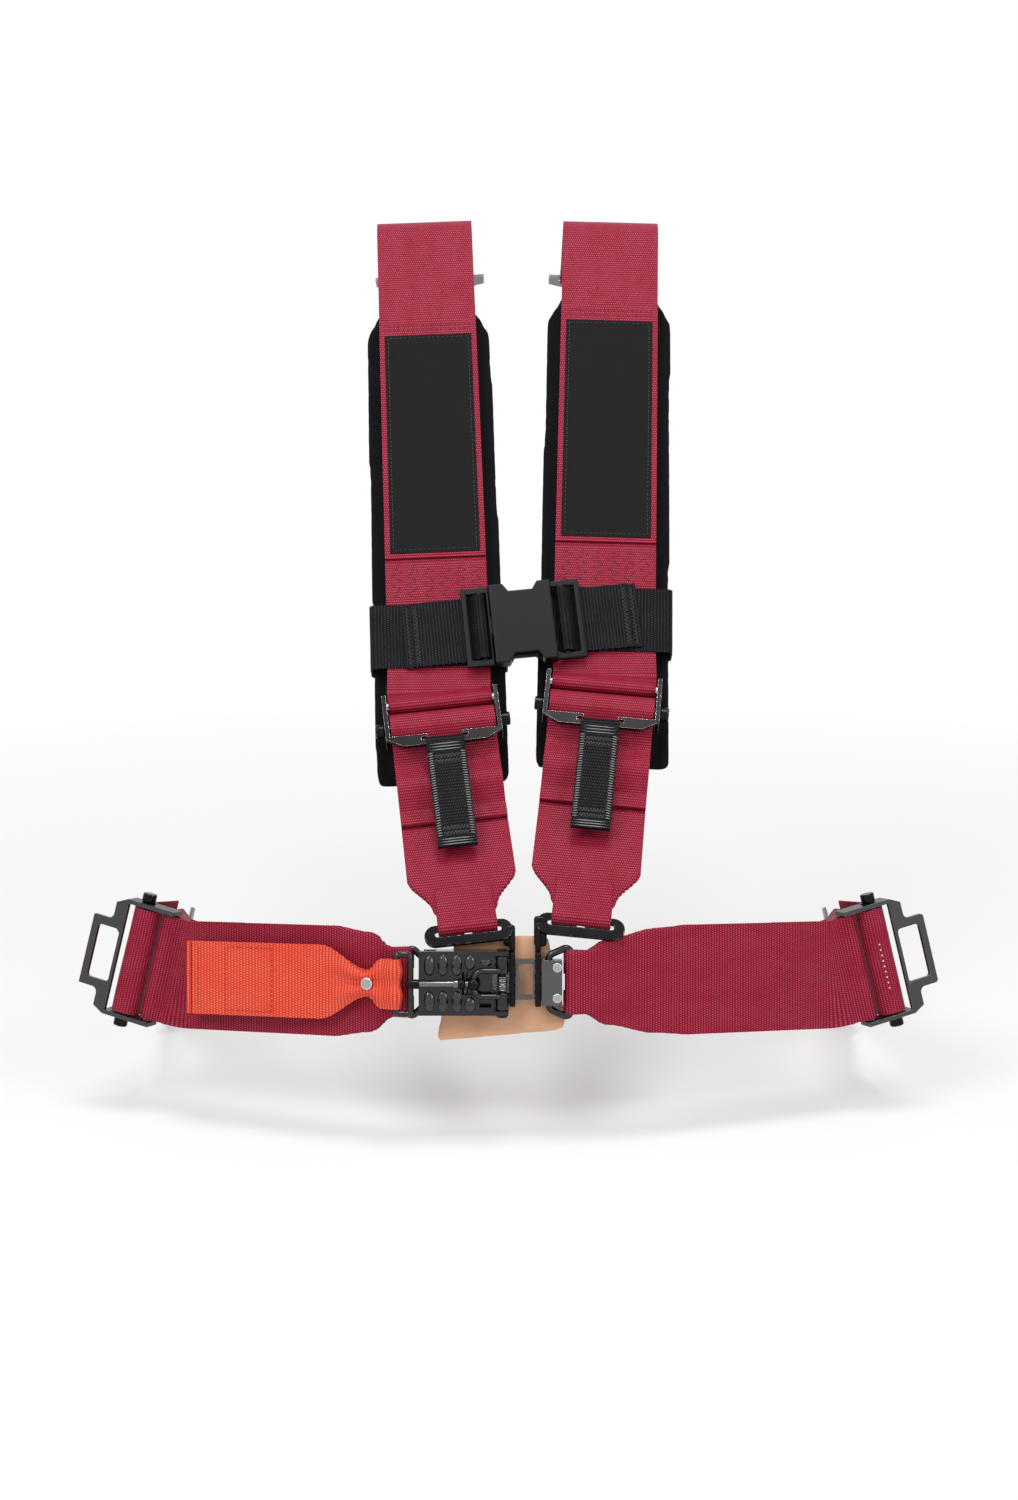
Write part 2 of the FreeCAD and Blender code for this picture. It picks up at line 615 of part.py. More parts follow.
pawl_u, pawl_w = pawl_pin_place
pawl = one(block((pawl_u, latch_middle - pawl_half, pawl_heights[0]),
                 (pawl_nose, latch_middle + pawl_half, pawl_heights[1])),
           upright(pawl_u, latch_middle - pawl_half, latch_middle + pawl_half, pawl_w,
                   pawl_w - pawl_heights[0]))
pawl = pawl.cut(upright(pawl_u, low, high, pawl_w, pawl_pin_radius + pin_gap))
nodes["latch_pawl"] = placed(pawl, buckle)
pivots["latch_lever"] = (buckle.multVec(Vector(pin_u, latch_middle, pin_w)), axes(buckle)[1])
pivots["latch_pawl"] = (buckle.multVec(Vector(pawl_u, latch_middle, pawl_w)), axes(buckle)[1] * -1)
pivots["release_rod"] = (buckle.multVec(Vector(lever_bar_out, latch_middle, bar_w)), axes(buckle)[1])
pivots["link_slide"] = (buckle.Base, axes(buckle)[0])
nodes["pawl_pin"] = placed(upright(pawl_u, low, high, pawl_w, pawl_pin_radius), buckle)

# ---- link ----------------------------------------------------------------
tongue = block((tongue_reach, -tongue_half, -plate / 2), (link_fold[0] + 2, tongue_half, plate / 2))
tongue = tongue.cut(block((link_window[0], -window_half, -plate), (link_window[1], window_half, plate)))
for s in (-1, 1):
    corner = prism(((tongue_reach, s * tongue_half), (tongue_reach + 8, s * tongue_half),
                    (tongue_reach, s * (tongue_half - 8))), -plate, plate)
    tongue = tongue.cut(corner)
fold = block((link_fold[0], latch_middle - link_fold_half, -knuckle),
             (link_fold[1], latch_middle + link_fold_half, knuckle))
link_holes = [(link_rivet_place[0], latch_middle + s * link_rivet_place[1]) for s in (-1, 1)]
fold = fold.cut(upright(link_ring_place, -60, 60, 0, ring_wire + running_gap))
shanks = [rod((u, v, -knuckle), (u, v, knuckle), rivet_shank) for u, v in link_holes]
nodes["link_plate"] = placed(one(tongue, fold).cut(shanks), buckle)
nodes["link_rivets"] = placed(Part.makeCompound([
    one(shank, rod((u, v, knuckle), (u, v, knuckle + rivet_head), rivet_shank + rivet_lip))
    for shank, (u, v) in zip(shanks, link_holes)]), buckle)

# ---- release rod, strap and bolt -----------------------------------------
eye_place = (lever_bar_out, latch_middle, bar_w)
bar_u, rod_w = release_bar[0], latch_front + release_bar[1]
slope = (rod_w - bar_w) / (bar_u - lever_bar_out)
yoke_w = bar_w + slope * (release_yoke - lever_bar_out)
fan = release_fan / 2 + rod_radius + yoke_room
eye_radius = lever_bar_radius + pin_gap + rod_eye[1]
corners = [(release_yoke, latch_middle - fan, yoke_w), (bar_u, latch_middle - fan, rod_w),
           (bar_u, latch_middle + fan, rod_w), (release_yoke, latch_middle + fan, yoke_w)]
pull = one(upright(lever_bar_out, latch_middle - rod_eye[0], latch_middle + rod_eye[0], bar_w, eye_radius),
           rod(eye_place, (release_yoke, latch_middle, yoke_w), rod_radius),
           *[rod(a, b, rod_radius) for a, b in zip(corners, corners[1:] + corners[:1])],
           *[Part.makeSphere(rod_radius, Vector(*corner)) for corner in corners])
pull = pull.cut(upright(lever_bar_out, low, high, bar_w, lever_bar_radius + pin_gap))
nodes["release_rod"] = placed(pull, buckle)

start = buckle.multVec(Vector(bar_u, latch_middle, rod_w))
release = frame(tuple(start), tuple(axes(buckle)[1]), tuple(Vector(*release_end) - start))
rod_loop = rod_radius + bar_clearance + webbing / 2
fold_end = rod_loop + 8
fold_back = [(fold_end, spread, 0)] + mirrored(loop((0, 0), (-1, 0), rod_loop, fold_end))
neck_at, neck_wide = release_neck
layers = [placed(band(fold_back, release_fan), release)]
for s in (-1, 1):
    stations = ((fold_end, release_fan), (neck_at, neck_wide), (release_full, release_width),
                (release_length, release_width))
    layers.append(run(*[(shifted(release, 0, along, s * spread), wide) for along, wide in stations]))
end = block((-release_width / 2, release_length - webbing, -spread),
            (release_width / 2, release_length, spread))
layers.append(placed(end, release))
bolt_hole = placed(rod((0, neck_at, -9), (0, neck_at, 9), bolt_radius), release)
nodes["release_strap"] = one(*layers).cut(bolt_hole)
face = spread + webbing / 2
nodes["release_bolt"] = placed(one(
    rod((0, neck_at, -face - nut_height - bolt_end), (0, neck_at, face), bolt_radius),
    rod((0, neck_at, face), (0, neck_at, face + bolt_head[1]), bolt_head[0])), release)
hexagon = [(nut_width / math.sqrt(3) * math.cos(math.radians(60 * k)),
            neck_at + nut_width / math.sqrt(3) * math.sin(math.radians(60 * k))) for k in range(6)]
nut = prism(hexagon, -face - nut_height, -face)
nodes["release_nut"] = placed(nut.cut(rod((0, neck_at, -9), (0, neck_at, 9), bolt_radius)), release)

# ---- buckle pad ----------------------------------------------------------
pad_front = latch_back - soft_gap
nodes["buckle_pad"] = placed(prism(buckle_pad_corners, pad_front - buckle_pad_thickness, pad_front), buckle)

# ---- sternum strap -------------------------------------------------------
uppers = {side: shifted(shoulder_frames(side)[2], 0, sternum_height, 0) for side in sides}
gap_line = uppers["right"].Base - uppers["left"].Base
middle = (uppers["right"].Base + uppers["left"].Base) * 0.5
rising = axes(uppers["left"])[1] + axes(uppers["right"])[1]
rising = rising - gap_line * (rising.dot(gap_line) / gap_line.dot(gap_line))
sternum = frame(tuple(middle), tuple(gap_line), tuple(rising))
web_level = loop_front + webbing + 0.1 + webbing / 2
bar_level = web_level + layer + webbing / 2 + 0.2 + frame_bar / 2

for side in sides:
    sign = sides[side]
    # webbing loop that holds the sternum strap on the pad
    half = pad_width / 2 + ring_slack
    back = pad_face - pad_thickness - ring_slack
    inside = block((-half, -sternum_width, back), (half, sternum_width, loop_front))
    outside = block((-half - webbing, -sternum_width / 2, back - webbing),
                    (half + webbing, sternum_width / 2, loop_front + webbing))
    ring = outside.cut(inside)
    nodes[side + "_pad_loop"] = placed(ring, uppers[side])

    outward = frame(tuple(sternum.Base), tuple(axes(sternum)[1] * -sign), tuple(axes(sternum)[0] * sign))
    reach = frame_reach[side]
    middle_bar = reach - bar_spacing
    bar_half = frame_bar / 2
    inner_end = male_shoulder if side == "left" else female_ends[1] - buckle_wall
    rails = block((-sternum_half, inner_end, bar_level - bar_half),
                  (sternum_half, reach, bar_level + bar_half))
    opening = sternum_half - frame_rail
    gaps = [block((-opening, inner_end + frame_web, -50), (opening, middle_bar - bar_half, 50)),
            block((-opening, middle_bar + bar_half, -50), (opening, reach - frame_bar, 50))]
    ladder = rails.cut(gaps)
    bend = math.hypot(bar_half, bar_half) + bar_clearance + webbing / 2
    web = [(sternum_tail, web_level, 0), (middle_bar + 5, web_level, 4),
           (middle_bar - bend, bar_level - bend, bend), (middle_bar - bend, bar_level + bend, bend),
           (middle_bar + bar_half, bar_level + bend, 2.5), (reach - frame_bar - 1.0, web_level + layer, 2.5),
           (sternum_tail - 6, web_level + layer, 0)]
    nodes[side + "_sternum_web"] = placed(band(web, sternum_width), outward)
    if side == "left":
        guide = block((-guide_half, guide_end, bar_level - bar_half),
                      (guide_half, inner_end + 1, bar_level + bar_half))
        nodes["sternum_male"] = placed(one(ladder, guide), outward)
        pivots["sternum_slide"] = (sternum.Base, axes(outward)[1])
        for s, name in ((-1, "lower_prong"), (1, "upper_prong")):
            place, half = s * prong_place, prong_width / 2
            root = male_shoulder - prong_gap - half
            tip = root + half - prong_length
            arm = block((place - half, tip, bar_level - bar_half), (place + half, root, bar_level + bar_half))
            knob = Part.makeCylinder(half, frame_bar, Vector(place, root, bar_level - bar_half))
            nodes[name] = placed(one(arm, knob), outward)
            pivots[name] = (outward.multVec(Vector(place, root, bar_level)), axes(outward)[2] * -s)
    else:
        shell = block((-sternum_half, female_ends[0], sternum_back),
                      (sternum_half, female_ends[1], sternum_back + buckle_depth))
        side_wall = buckle_wall + room_side
        room = block((side_wall - sternum_half, female_ends[0] - 5, sternum_back + buckle_wall),
                     (sternum_half - side_wall, female_ends[1] - buckle_wall,
                      sternum_back + buckle_depth - buckle_wall))
        cuts = [room]
        for s in (-1, 1):
            cuts.append(prism([(s * v, u) for u, v in notch], -50, 50))
        nodes["sternum_female"] = placed(one(shell.cut(cuts), ladder), outward)

for name, shape in nodes.items():
    print(name, len(shape.Solids), round(shape.Volume, 1), shape.isValid())
    shape.exportStep("parts/" + name + ".step")
for name, (point, axis) in pivots.items():
    print("pivot", name, *[round(value, 4) for value in (*point, *axis)])
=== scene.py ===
# %% [markdown]
# # A racing harness, finished in Blender
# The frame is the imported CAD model: every strap, plate and bar is already at its real size and place.
# This lesson gives each of them its looks. Webbing is woven again over the CAD route, pads are stuffed,
# steel gets soft edges and paint, and nothing is moved.

# %% Load the frame
import json
import math
from collections import namedtuple

import bpy
from mathutils import Matrix, Vector, noise


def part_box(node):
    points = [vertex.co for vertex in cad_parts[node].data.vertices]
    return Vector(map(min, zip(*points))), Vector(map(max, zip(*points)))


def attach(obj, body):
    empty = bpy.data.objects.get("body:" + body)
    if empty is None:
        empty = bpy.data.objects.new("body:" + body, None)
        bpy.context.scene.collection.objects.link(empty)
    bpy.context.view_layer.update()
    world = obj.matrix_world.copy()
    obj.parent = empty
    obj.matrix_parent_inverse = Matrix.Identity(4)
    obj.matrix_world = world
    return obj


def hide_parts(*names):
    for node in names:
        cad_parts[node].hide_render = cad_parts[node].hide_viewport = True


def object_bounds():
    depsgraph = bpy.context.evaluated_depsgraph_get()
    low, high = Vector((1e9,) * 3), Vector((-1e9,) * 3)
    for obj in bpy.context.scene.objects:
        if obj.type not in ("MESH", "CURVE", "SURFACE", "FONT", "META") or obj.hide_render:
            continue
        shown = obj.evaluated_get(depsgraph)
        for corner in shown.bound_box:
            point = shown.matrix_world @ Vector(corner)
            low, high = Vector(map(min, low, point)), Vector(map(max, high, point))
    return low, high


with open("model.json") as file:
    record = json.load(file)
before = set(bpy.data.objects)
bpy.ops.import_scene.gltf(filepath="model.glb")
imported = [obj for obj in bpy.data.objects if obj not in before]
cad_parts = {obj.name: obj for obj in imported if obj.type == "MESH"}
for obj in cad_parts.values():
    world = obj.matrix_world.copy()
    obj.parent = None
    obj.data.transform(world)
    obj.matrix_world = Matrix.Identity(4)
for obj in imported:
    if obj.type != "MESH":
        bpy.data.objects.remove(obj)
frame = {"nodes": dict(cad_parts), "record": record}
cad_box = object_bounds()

print("CAD nodes:", len(frame["nodes"]))

# %% [markdown]
# ## Places and sizes
# Places come from the frame: the middle of each slide bar, the axis it slides along, and the pivots of
# the anchor plates. The webbing's own sizes are the CAD's, in metres.

# %% Sizes of the webbing and the hardware
mm = 0.001
wide, narrow, tab_width = 76.2 * mm, 50.8 * mm, 28 * mm
thick = 1.4 * mm
layer = 1.7 * mm         # from the middle of one thickness of webbing to the next one sewn on it
spread = layer / 2
gathered = 38 * mm       # the lower belts are gathered to this width in their hooks
sewn_lap = 70 * mm
joints = {joint["name"]: joint for joint in frame["record"]["behaviour"]["joints"]}
X = Vector((1, 0, 0))


def middle(node):
    low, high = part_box(node)
    return (Vector(low) + Vector(high)) / 2


class Frame:
    """Three axes at a point: across the strap, along it, and out of its face."""

    def __init__(self, origin, across, along):
        self.origin = Vector(origin)
        self.along = Vector(along).normalized()
        across = Vector(across)
        self.across = (across - self.along * across.dot(self.along)).normalized()
        self.out = self.across.cross(self.along)

    def at(self, across=0.0, along=0.0, out=0.0):
        return self.origin + self.across * across + self.along * along + self.out * out

    def moved(self, across=0.0, along=0.0, out=0.0):
        return Frame(self.at(across, along, out), self.across, self.along)

    def matrix(self):
        """Turns local (across, along, out) into world places."""
        turn = Matrix((self.across, self.along, self.out)).transposed().to_4x4()
        return Matrix.Translation(self.origin) @ turn


lean = math.radians(12)
buckle = Frame((0, 0, 0), X, (0, math.sin(lean), math.cos(lean)))
latch_middle = -2 * mm
sides = {"left": -1, "right": 1}
print("slide bars at", [tuple(round(c, 4) for c in middle(side + "_shoulder_slide_bar")) for side in sides])

# %% [markdown]
# ## Helpers for modelling
# An operator works on all that is selected, so each helper starts by clearing the selection.

# %% Selection and transforms
def only(thing):
    bpy.ops.object.select_all(action="DESELECT")
    thing.select_set(True)
    bpy.context.view_layer.objects.active = thing
    return thing


def named(name):
    thing = bpy.context.object
    thing.name = name
    thing.data.name = name
    return thing


def modified(thing, kind, **settings):
    """Adds a modifier and applies it."""
    only(thing)
    modifier = thing.modifiers.new(kind.lower(), kind)
    for key, value in settings.items():
        setattr(modifier, key, value)
    bpy.ops.object.modifier_apply(modifier=modifier.name)
    return thing


def smooth(thing, degrees=35):
    only(thing)
    bpy.ops.object.shade_smooth_by_angle(angle=math.radians(degrees))
    return thing


def joined(things, name):
    bpy.ops.object.select_all(action="DESELECT")
    for thing in things:
        thing.select_set(True)
    bpy.context.view_layer.objects.active = things[0]
    if len(things) > 1:
        bpy.ops.object.join()
    return named(name)


def placed(thing, matrix):
    """Moves the mesh itself, so that the object stays at the origin."""
    thing.data.transform(matrix)
    thing.data.update()
    return thing


def finished(piece, body, slot, *nodes):
    """Declares what a piece rides on and which CAD nodes it takes the place of. The slot is not used."""
    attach(piece, body)
    if nodes:
        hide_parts(*nodes)
    print(piece.name, "rides on", body, "and has", len(piece.data.polygons), "faces")
    return piece


# %% [markdown]
# ## Webbing
# A strap is one long ribbon. It starts as a flat grid with one row for each step of the route, and each
# row is then laid across the route, so the grid's own UV map still measures the cloth in metres. Round
# bars the route turns on real arcs. Where the strap is squeezed into a slot it falls into folds.
# Solidify gives the ribbon its thickness last.
#
# A corner of a route is (point, bend radius, way across the strap, width of the strap there).

# %% The route of a strap
def route(corners, step):
    """Samples straight runs and round corners: (point, place in the corner list, length so far)."""
    spots = [Vector(corner[0]) for corner in corners]
    marks = []

    def straight(start, finish, first, last):
        count = max(1, round((finish - start).length / step))
        for k in range(count):
            share = k / count
            marks.append((start.lerp(finish, share), first + (last - first) * share))

    start, mark = spots[0], 0.0
    for index in range(1, len(spots) - 1):
        before, after = spots[index] - spots[index - 1], spots[index + 1] - spots[index]
        turn = before.angle(after)
        radius = corners[index][1]
        reach = radius * math.tan(turn / 2)
        if reach < 1e-6:
            straight(start, spots[index], mark, float(index))
            start, mark = spots[index], float(index)
            continue
        enter = spots[index] - before.normalized() * reach
        leave = spots[index] + after.normalized() * reach
        first, last = index - reach / before.length, index + reach / after.length
        if (enter - start).length > 1e-6:
            straight(start, enter, mark, first)
        inward = (after.normalized() - before.normalized()).normalized()
        centre = spots[index] + inward * (radius / math.cos(turn / 2))
        count = max(2, round(radius * turn / step), round(turn / 0.3))
        tangent = (before.normalized() + after.normalized()).normalized()
        for k in range(count):
            angle = (k / count - 0.5) * turn
            point = centre - inward * radius * math.cos(angle) + tangent * radius * math.sin(angle)
            marks.append((point, first + (last - first) * k / count))
        start, mark = leave, last
    straight(start, spots[-1], mark, len(spots) - 1.0)
    marks.append((spots[-1], len(spots) - 1.0))
    rows, length = [], 0.0
    for k, (point, mark) in enumerate(marks):
        length += (point - marks[k - 1][0]).length if k else 0.0
        rows.append((point, mark, length))
    return rows


def eased(share):
    share = min(max(share, 0.0), 1.0)
    return share * share * (3 - 2 * share)


# %% One strap from its corners
edge_turn = 0.9 * mm
tucked_columns = 60
fold_count = 2
ripple_length = 45 * mm


def tucked(reach, half, front):
    """Where a point of the cloth goes when the strap is narrower than its cloth: the edge turns back."""
    turn, over = edge_turn, abs(reach) - half
    if over <= 0:
        return reach, 0.0
    angle = min(over / turn, math.pi)
    place = half + turn * math.sin(angle) - max(over - math.pi * turn, 0.0)
    return math.copysign(place, reach), -front * turn * (1 - math.cos(angle))


def strap(name, corners, columns=28, step=2.6 * mm, thickness=thick, ripple=0.25 * mm, tuck=None,
          depth=0.0):
    """A strap that is squeezed falls into folds, or with tuck, the way its front faces, it has its edges
    folded away behind."""
    rows = route(corners, step)
    columns = tucked_columns if tuck else columns
    bpy.ops.mesh.primitive_grid_add(x_subdivisions=columns, y_subdivisions=len(rows) - 1, size=1)
    thing = named(name)
    mesh = thing.data
    cloth = max(corner[3] for corner in corners)
    for vertex in mesh.vertices:
        side = vertex.co.x
        row = round((vertex.co.y + 0.5) * (len(rows) - 1))
        point, mark, length = rows[row]
        index = min(int(mark), len(corners) - 2)
        share = eased(mark - index)
        across = Vector(corners[index][2]).lerp(Vector(corners[index + 1][2]), share)
        width = corners[index][3] * (1 - share) + corners[index + 1][3] * share
        before, after = rows[max(row - 1, 0)][0], rows[min(row + 1, len(rows) - 1)][0]
        tangent = (after - before).normalized()
        across = (across - tangent * across.dot(tangent)).normalized()
        out = across.cross(tangent)
        height = ripple * noise.noise(Vector((side * 3, length / ripple_length, len(name) * 1.7)))
        reach = side * width
        if tuck:
            reach, turned_by = tucked(side * cloth, width / 2, max(-1.0, min(1.0, out.dot(tuck) * 2)))
            height += turned_by
        else:
            height += depth * (1 - width / cloth) * math.cos(2 * math.pi * fold_count * side)
        vertex.co = point + across * reach + out * height
    for entry in mesh.uv_layers.active.data:
        u, v = entry.uv
        entry.uv = ((u - 0.5) * cloth, rows[min(round(v * (len(rows) - 1)), len(rows) - 1)][2])
    modified(thing, "SOLIDIFY", thickness=thickness, offset=0.0)
    smooth(thing, 50)
    thing["cloth_length"] = rows[-1][2]
    print(name, "is", round(rows[-1][2] / mm), "mm of webbing")
    return thing


def loop(place, heading, radius, lap, width, mirror=1, turn=1):
    """Corners of webbing that comes up to a bar, turns round it and is sewn back on itself."""
    soft, ease = 3 * mm, radius + 6 * mm
    rows = [(-ease, spread, soft), (-0.8 * radius, radius, soft), (radius, radius, radius),
            (radius, -radius, radius), (-0.8 * radius, -radius, soft), (-ease, -spread, soft),
            (-lap, -spread, 0)]
    return [(place.at(0, along * heading, out * heading * mirror), bend, place.across * turn, width)
            for along, out, bend in rows]


def around(bar_width, bar_depth):
    """The radius on which webbing turns round a flat bar of this section."""
    return math.hypot(bar_width, bar_depth) / 2 + 1 * mm


def corner(place, along, out, bend, width=wide, turn=1):
    return (place.at(0, along, out), bend, place.across * turn, width)


def corners_at(place, rows, width=wide):
    """Corners in one frame, from rows of (place along, place out, bend radius)."""
    return [corner(place, *row, width) for row in rows]


def webbing(piece, body, slot, node, width):
    """Declares a finished strap: what it rides on and what it stands for. The width is not used."""
    finished(piece, body, slot, node)
    return piece


# %% [markdown]
# ## The shoulder belts
# Each belt is two straps that meet at a three-bar adjuster. The upper one is sewn round the fixed bar,
# lies on the pad and goes back over the shoulder to its anchor plate. The lower one comes up from the
# hook, rolls over the slide bar and hangs down again as a tail that ends in a folded hem.

# %% Frames of the shoulder belts
Belt = namedtuple("Belt", "lower slide fixed upper top anchor")
hook_place = {"left": (-35.4 * mm, 36.0 * mm, -5.0 * mm), "right": (42.9 * mm, 40.5 * mm, -5.0 * mm)}
belt_top = {"left": Vector((-0.0755, 0.349, 0.529)), "right": Vector((0.0753, 0.349, 0.529))}
fixed_bar_up = 19 * mm
bar_loop, roll_radius, roll_top = 4.5 * mm, 8.0 * mm, 11.0 * mm
hook_loop, anchor_loop, rim_loop = around(5 * mm, 3 * mm), around(8 * mm, 3 * mm), around(3.5 * mm, 3 * mm)
strap_back, settled, level = 8.5 * mm, 36 * mm, -4.8 * mm
sleeve_foot, sleeve_top = 120 * mm, 325 * mm


def shoulder(side):
    """Frames at the hook, the slide bar, the fixed bar, the upper strap, its top and the anchor plate."""
    origin = middle(side + "_shoulder_slide_bar")
    slide = Frame(origin, X, joints[side + "_shoulder_slide"]["axis"])
    hook = buckle.at(*hook_place[side])
    lower = Frame(hook, X, origin - hook)
    fixed = slide.moved(along=fixed_bar_up)
    rise = belt_top[side] - fixed.origin
    upper = Frame(fixed.origin, X, rise)
    top = upper.at(along=rise.length, out=-strap_back)
    bar = Vector(joints[side + "_shoulder_plate_turn"]["pos_m"])
    heading = bar - top
    heading -= upper.across * heading.dot(upper.across)
    face = upper.across.cross(heading.normalized())
    anchor = Frame(bar, upper.across, bar + face * spread - top)
    return Belt(lower, slide, fixed, upper, top, anchor)


belts = {side: shoulder(side) for side in sides}


# %% Upper and lower straps
def upper_strap(side):
    belt = belts[side]
    corners = corners_at(belt.upper, [(sleeve_foot - 4 * mm, layer - strap_back, 0),
                                      (settled, layer - strap_back, 14 * mm)])
    corners += corners_at(belt.fixed, [(11 * mm, level + layer, 2 * mm), (2 * mm, bar_loop, 3 * mm),
                                       (-bar_loop, bar_loop, bar_loop), (-bar_loop, -bar_loop, bar_loop),
                                       (11 * mm, level, 8 * mm)])
    corners += [corner(belt.upper, settled, -strap_back, 14 * mm),
                (belt.top, 28 * mm, belt.upper.across, wide)]
    corners += loop(belt.anchor, 1, anchor_loop, sewn_lap, wide)
    piece = strap(side + "_belt_upper", corners, ripple=0.06 * mm)
    return webbing(piece, "root", "crimson_webbing", side + "_shoulder_strap", wide)


def lower_strap(side):
    lower, slide = belts[side].lower, belts[side].slide
    hem, hem_fold, hem_foot = -roll_radius + layer + 0.4 * mm, 0.9 * mm, -76 * mm
    corners = loop(lower, -1, hook_loop, 28 * mm, gathered)[::-1]
    corners += [corner(lower, 14 * mm, -spread, 10 * mm, 42 * mm),
                corner(lower, 40 * mm, -spread, 20 * mm, 74 * mm)]
    rising = [(-64 * mm, -roll_radius - 2 * mm, 40 * mm), (-30 * mm, -roll_radius, 40 * mm)]
    over_the_bar = [(roll_top, -roll_radius, roll_radius), (roll_top, roll_radius, roll_radius)]
    tail = [(-3 * mm, roll_radius, 3 * mm), (-13 * mm, 2.0 * mm, 5 * mm), (-28 * mm, -4.6 * mm, 12 * mm),
            (-46 * mm, 2.2 * mm, 14 * mm), (-64 * mm, hem - 1 * mm, 12 * mm)]
    folded = [(hem_foot, hem, hem_fold), (hem_foot, hem + layer, hem_fold),
              (hem_foot + 10 * mm, hem + layer, 0)]
    corners += corners_at(slide, rising + over_the_bar + tail + folded)
    piece = strap(side + "_belt_lower", corners, tuck=lower.out)
    return webbing(piece, "root", "crimson_webbing", side + "_lower_strap", wide)


crimson = []
for side in sides:
    crimson += [upper_strap(side), lower_strap(side)]


# %% [markdown]
# ## Sleeve, patch and the webbing round the pad
# A second layer of crimson webbing is sewn over the pad end of each belt and carries a plain black
# patch. The narrow sternum strap holds on to the pad with a loop that goes all the way round it.

# %% Sleeves and patches
pad_half, pad_face, pad_back = 49 * mm, -9.6 * mm, -22.1 * mm
patch_foot, patch_top, patch_width = 124 * mm, 312 * mm, 68 * mm
patch_thick = 0.6 * mm
black, patches = [], []
for side in sides:
    upper = belts[side].upper
    on_top = layer - strap_back
    ends = corners_at(upper, [(sleeve_foot, on_top, 0), (sleeve_top, on_top, 0)])
    piece = strap(side + "_sleeve", ends, ripple=0.1 * mm)
    crimson.append(webbing(piece, "root", "crimson_webbing", side + "_pad_sleeve", wide))
    face = on_top + (thick + patch_thick) / 2
    ends = corners_at(upper, [(patch_foot, face, 0), (patch_top, face, 0)], patch_width)
    piece = strap(side + "_patch", ends, thickness=patch_thick, ripple=0.1 * mm)
    patches.append(webbing(piece, "root", "blank_patch", side + "_pad_label", patch_width))


# %% Pad loops and pull tabs
tab_long = 85 * mm
ring_height, ring_room, ring_front = 56 * mm, 0.5 * mm, -5.1 * mm


def pad_ring(side):
    place = belts[side].upper.moved(along=ring_height)
    half = pad_half + ring_room + thick / 2
    back = pad_back - ring_room - thick / 2
    path = [(0, back), (half, back), (half, ring_front), (-half, ring_front), (-half, back), (-2 * mm, back)]
    spots = [(place.at(across, 0, out), 3.5 * mm, place.along, narrow) for across, out in path]
    piece = strap(side + "_pad_ring", spots, ripple=0.1 * mm)
    return webbing(piece, "root", "black_webbing", side + "_pad_loop", narrow)


def tab_rim(side):
    """The lower bar of an adjuster, which the pull tab is sewn round."""
    return belts[side].slide.moved(along=-17.25 * mm, out=7.5 * mm)


def pull_tab(side):
    rim = tab_rim(side)
    corners = [corner(rim, -tab_long, spread, 0, tab_width)] + loop(rim, 1, rim_loop, tab_long, tab_width)
    piece = strap(side + "_tab", corners, columns=14, ripple=0.3 * mm)
    return webbing(piece, side + "_tab", "black_webbing", side + "_pull_tab", tab_width)


for side in sides:
    black += [pad_ring(side), pull_tab(side)]

# %% [markdown]
# ## The lap belts
# A lap strap is sewn round a wire ring at the buckle and round the fixed bar of its adjuster. A second
# strap comes from the anchor plate behind, rolls over the slide bar and goes back again.

# %% Frames and straps of the lap belts
Lap = namedtuple("Lap", "slide fixed inner anchor")
ring_bar = {"left": -77 * mm, "right": 35.5 * mm}
wire_loop = 3.5 * mm
# width at the ring, then widths at shares of the run out to the adjuster
lap_shape = {"left": (45 * mm, [(0.0, 66 * mm), (0.25, 75.5 * mm), (0.45, wide)]),
             "right": (41 * mm, [(0.0, 56 * mm), (0.22, 70 * mm), (0.42, 75.8 * mm), (0.55, wide)])}


def lap(side):
    sign = sides[side]
    slide = Frame(middle(side + "_lap_slide_bar"), buckle.along * sign, joints[side + "_lap_slide"]["axis"])
    inner = Frame(buckle.at(ring_bar[side], latch_middle, 0), buckle.along * -sign, buckle.across * sign)
    start = slide.at(along=roll_top, out=-34 * mm)
    bar = Vector(joints[side + "_lap_plate_turn"]["pos_m"])
    return Lap(slide, slide.moved(along=fixed_bar_up), inner, Frame(bar, slide.across, bar - start))


laps = {side: lap(side) for side in sides}
lap_body = {"left": "root", "right": "link_side"}


def lap_strap(side):
    fixed, inner = laps[side].fixed, laps[side].inner
    start, finish = inner.at(0, 24 * mm, spread), fixed.at(0, 20 * mm, spread)
    neck, shoulders = lap_shape[side]
    back = (start - finish).normalized()
    corners = loop(inner, -1, wire_loop, 22 * mm, neck, mirror=-1)[::-1]
    corners += [(start.lerp(finish, share), 30 * mm, inner.across.lerp(-fixed.across, share), width)
                for share, width in shoulders]
    corners += [corner(fixed, 20 * mm, spread, 40 * mm, turn=-1)]
    corners += loop(fixed, -1, bar_loop, 20 * mm, wide, mirror=-1, turn=-1)[:-1]
    corners += [corner(fixed, 20 * mm, -spread, 40 * mm, turn=-1),
                (fixed.at(0, 20 * mm, -spread) + back * (sewn_lap - 22 * mm), 0, -fixed.across, wide)]
    piece = strap(side + "_belt_lap", corners, tuck=buckle.out)
    return webbing(piece, lap_body[side], "crimson_webbing", side + "_lap_strap", wide)


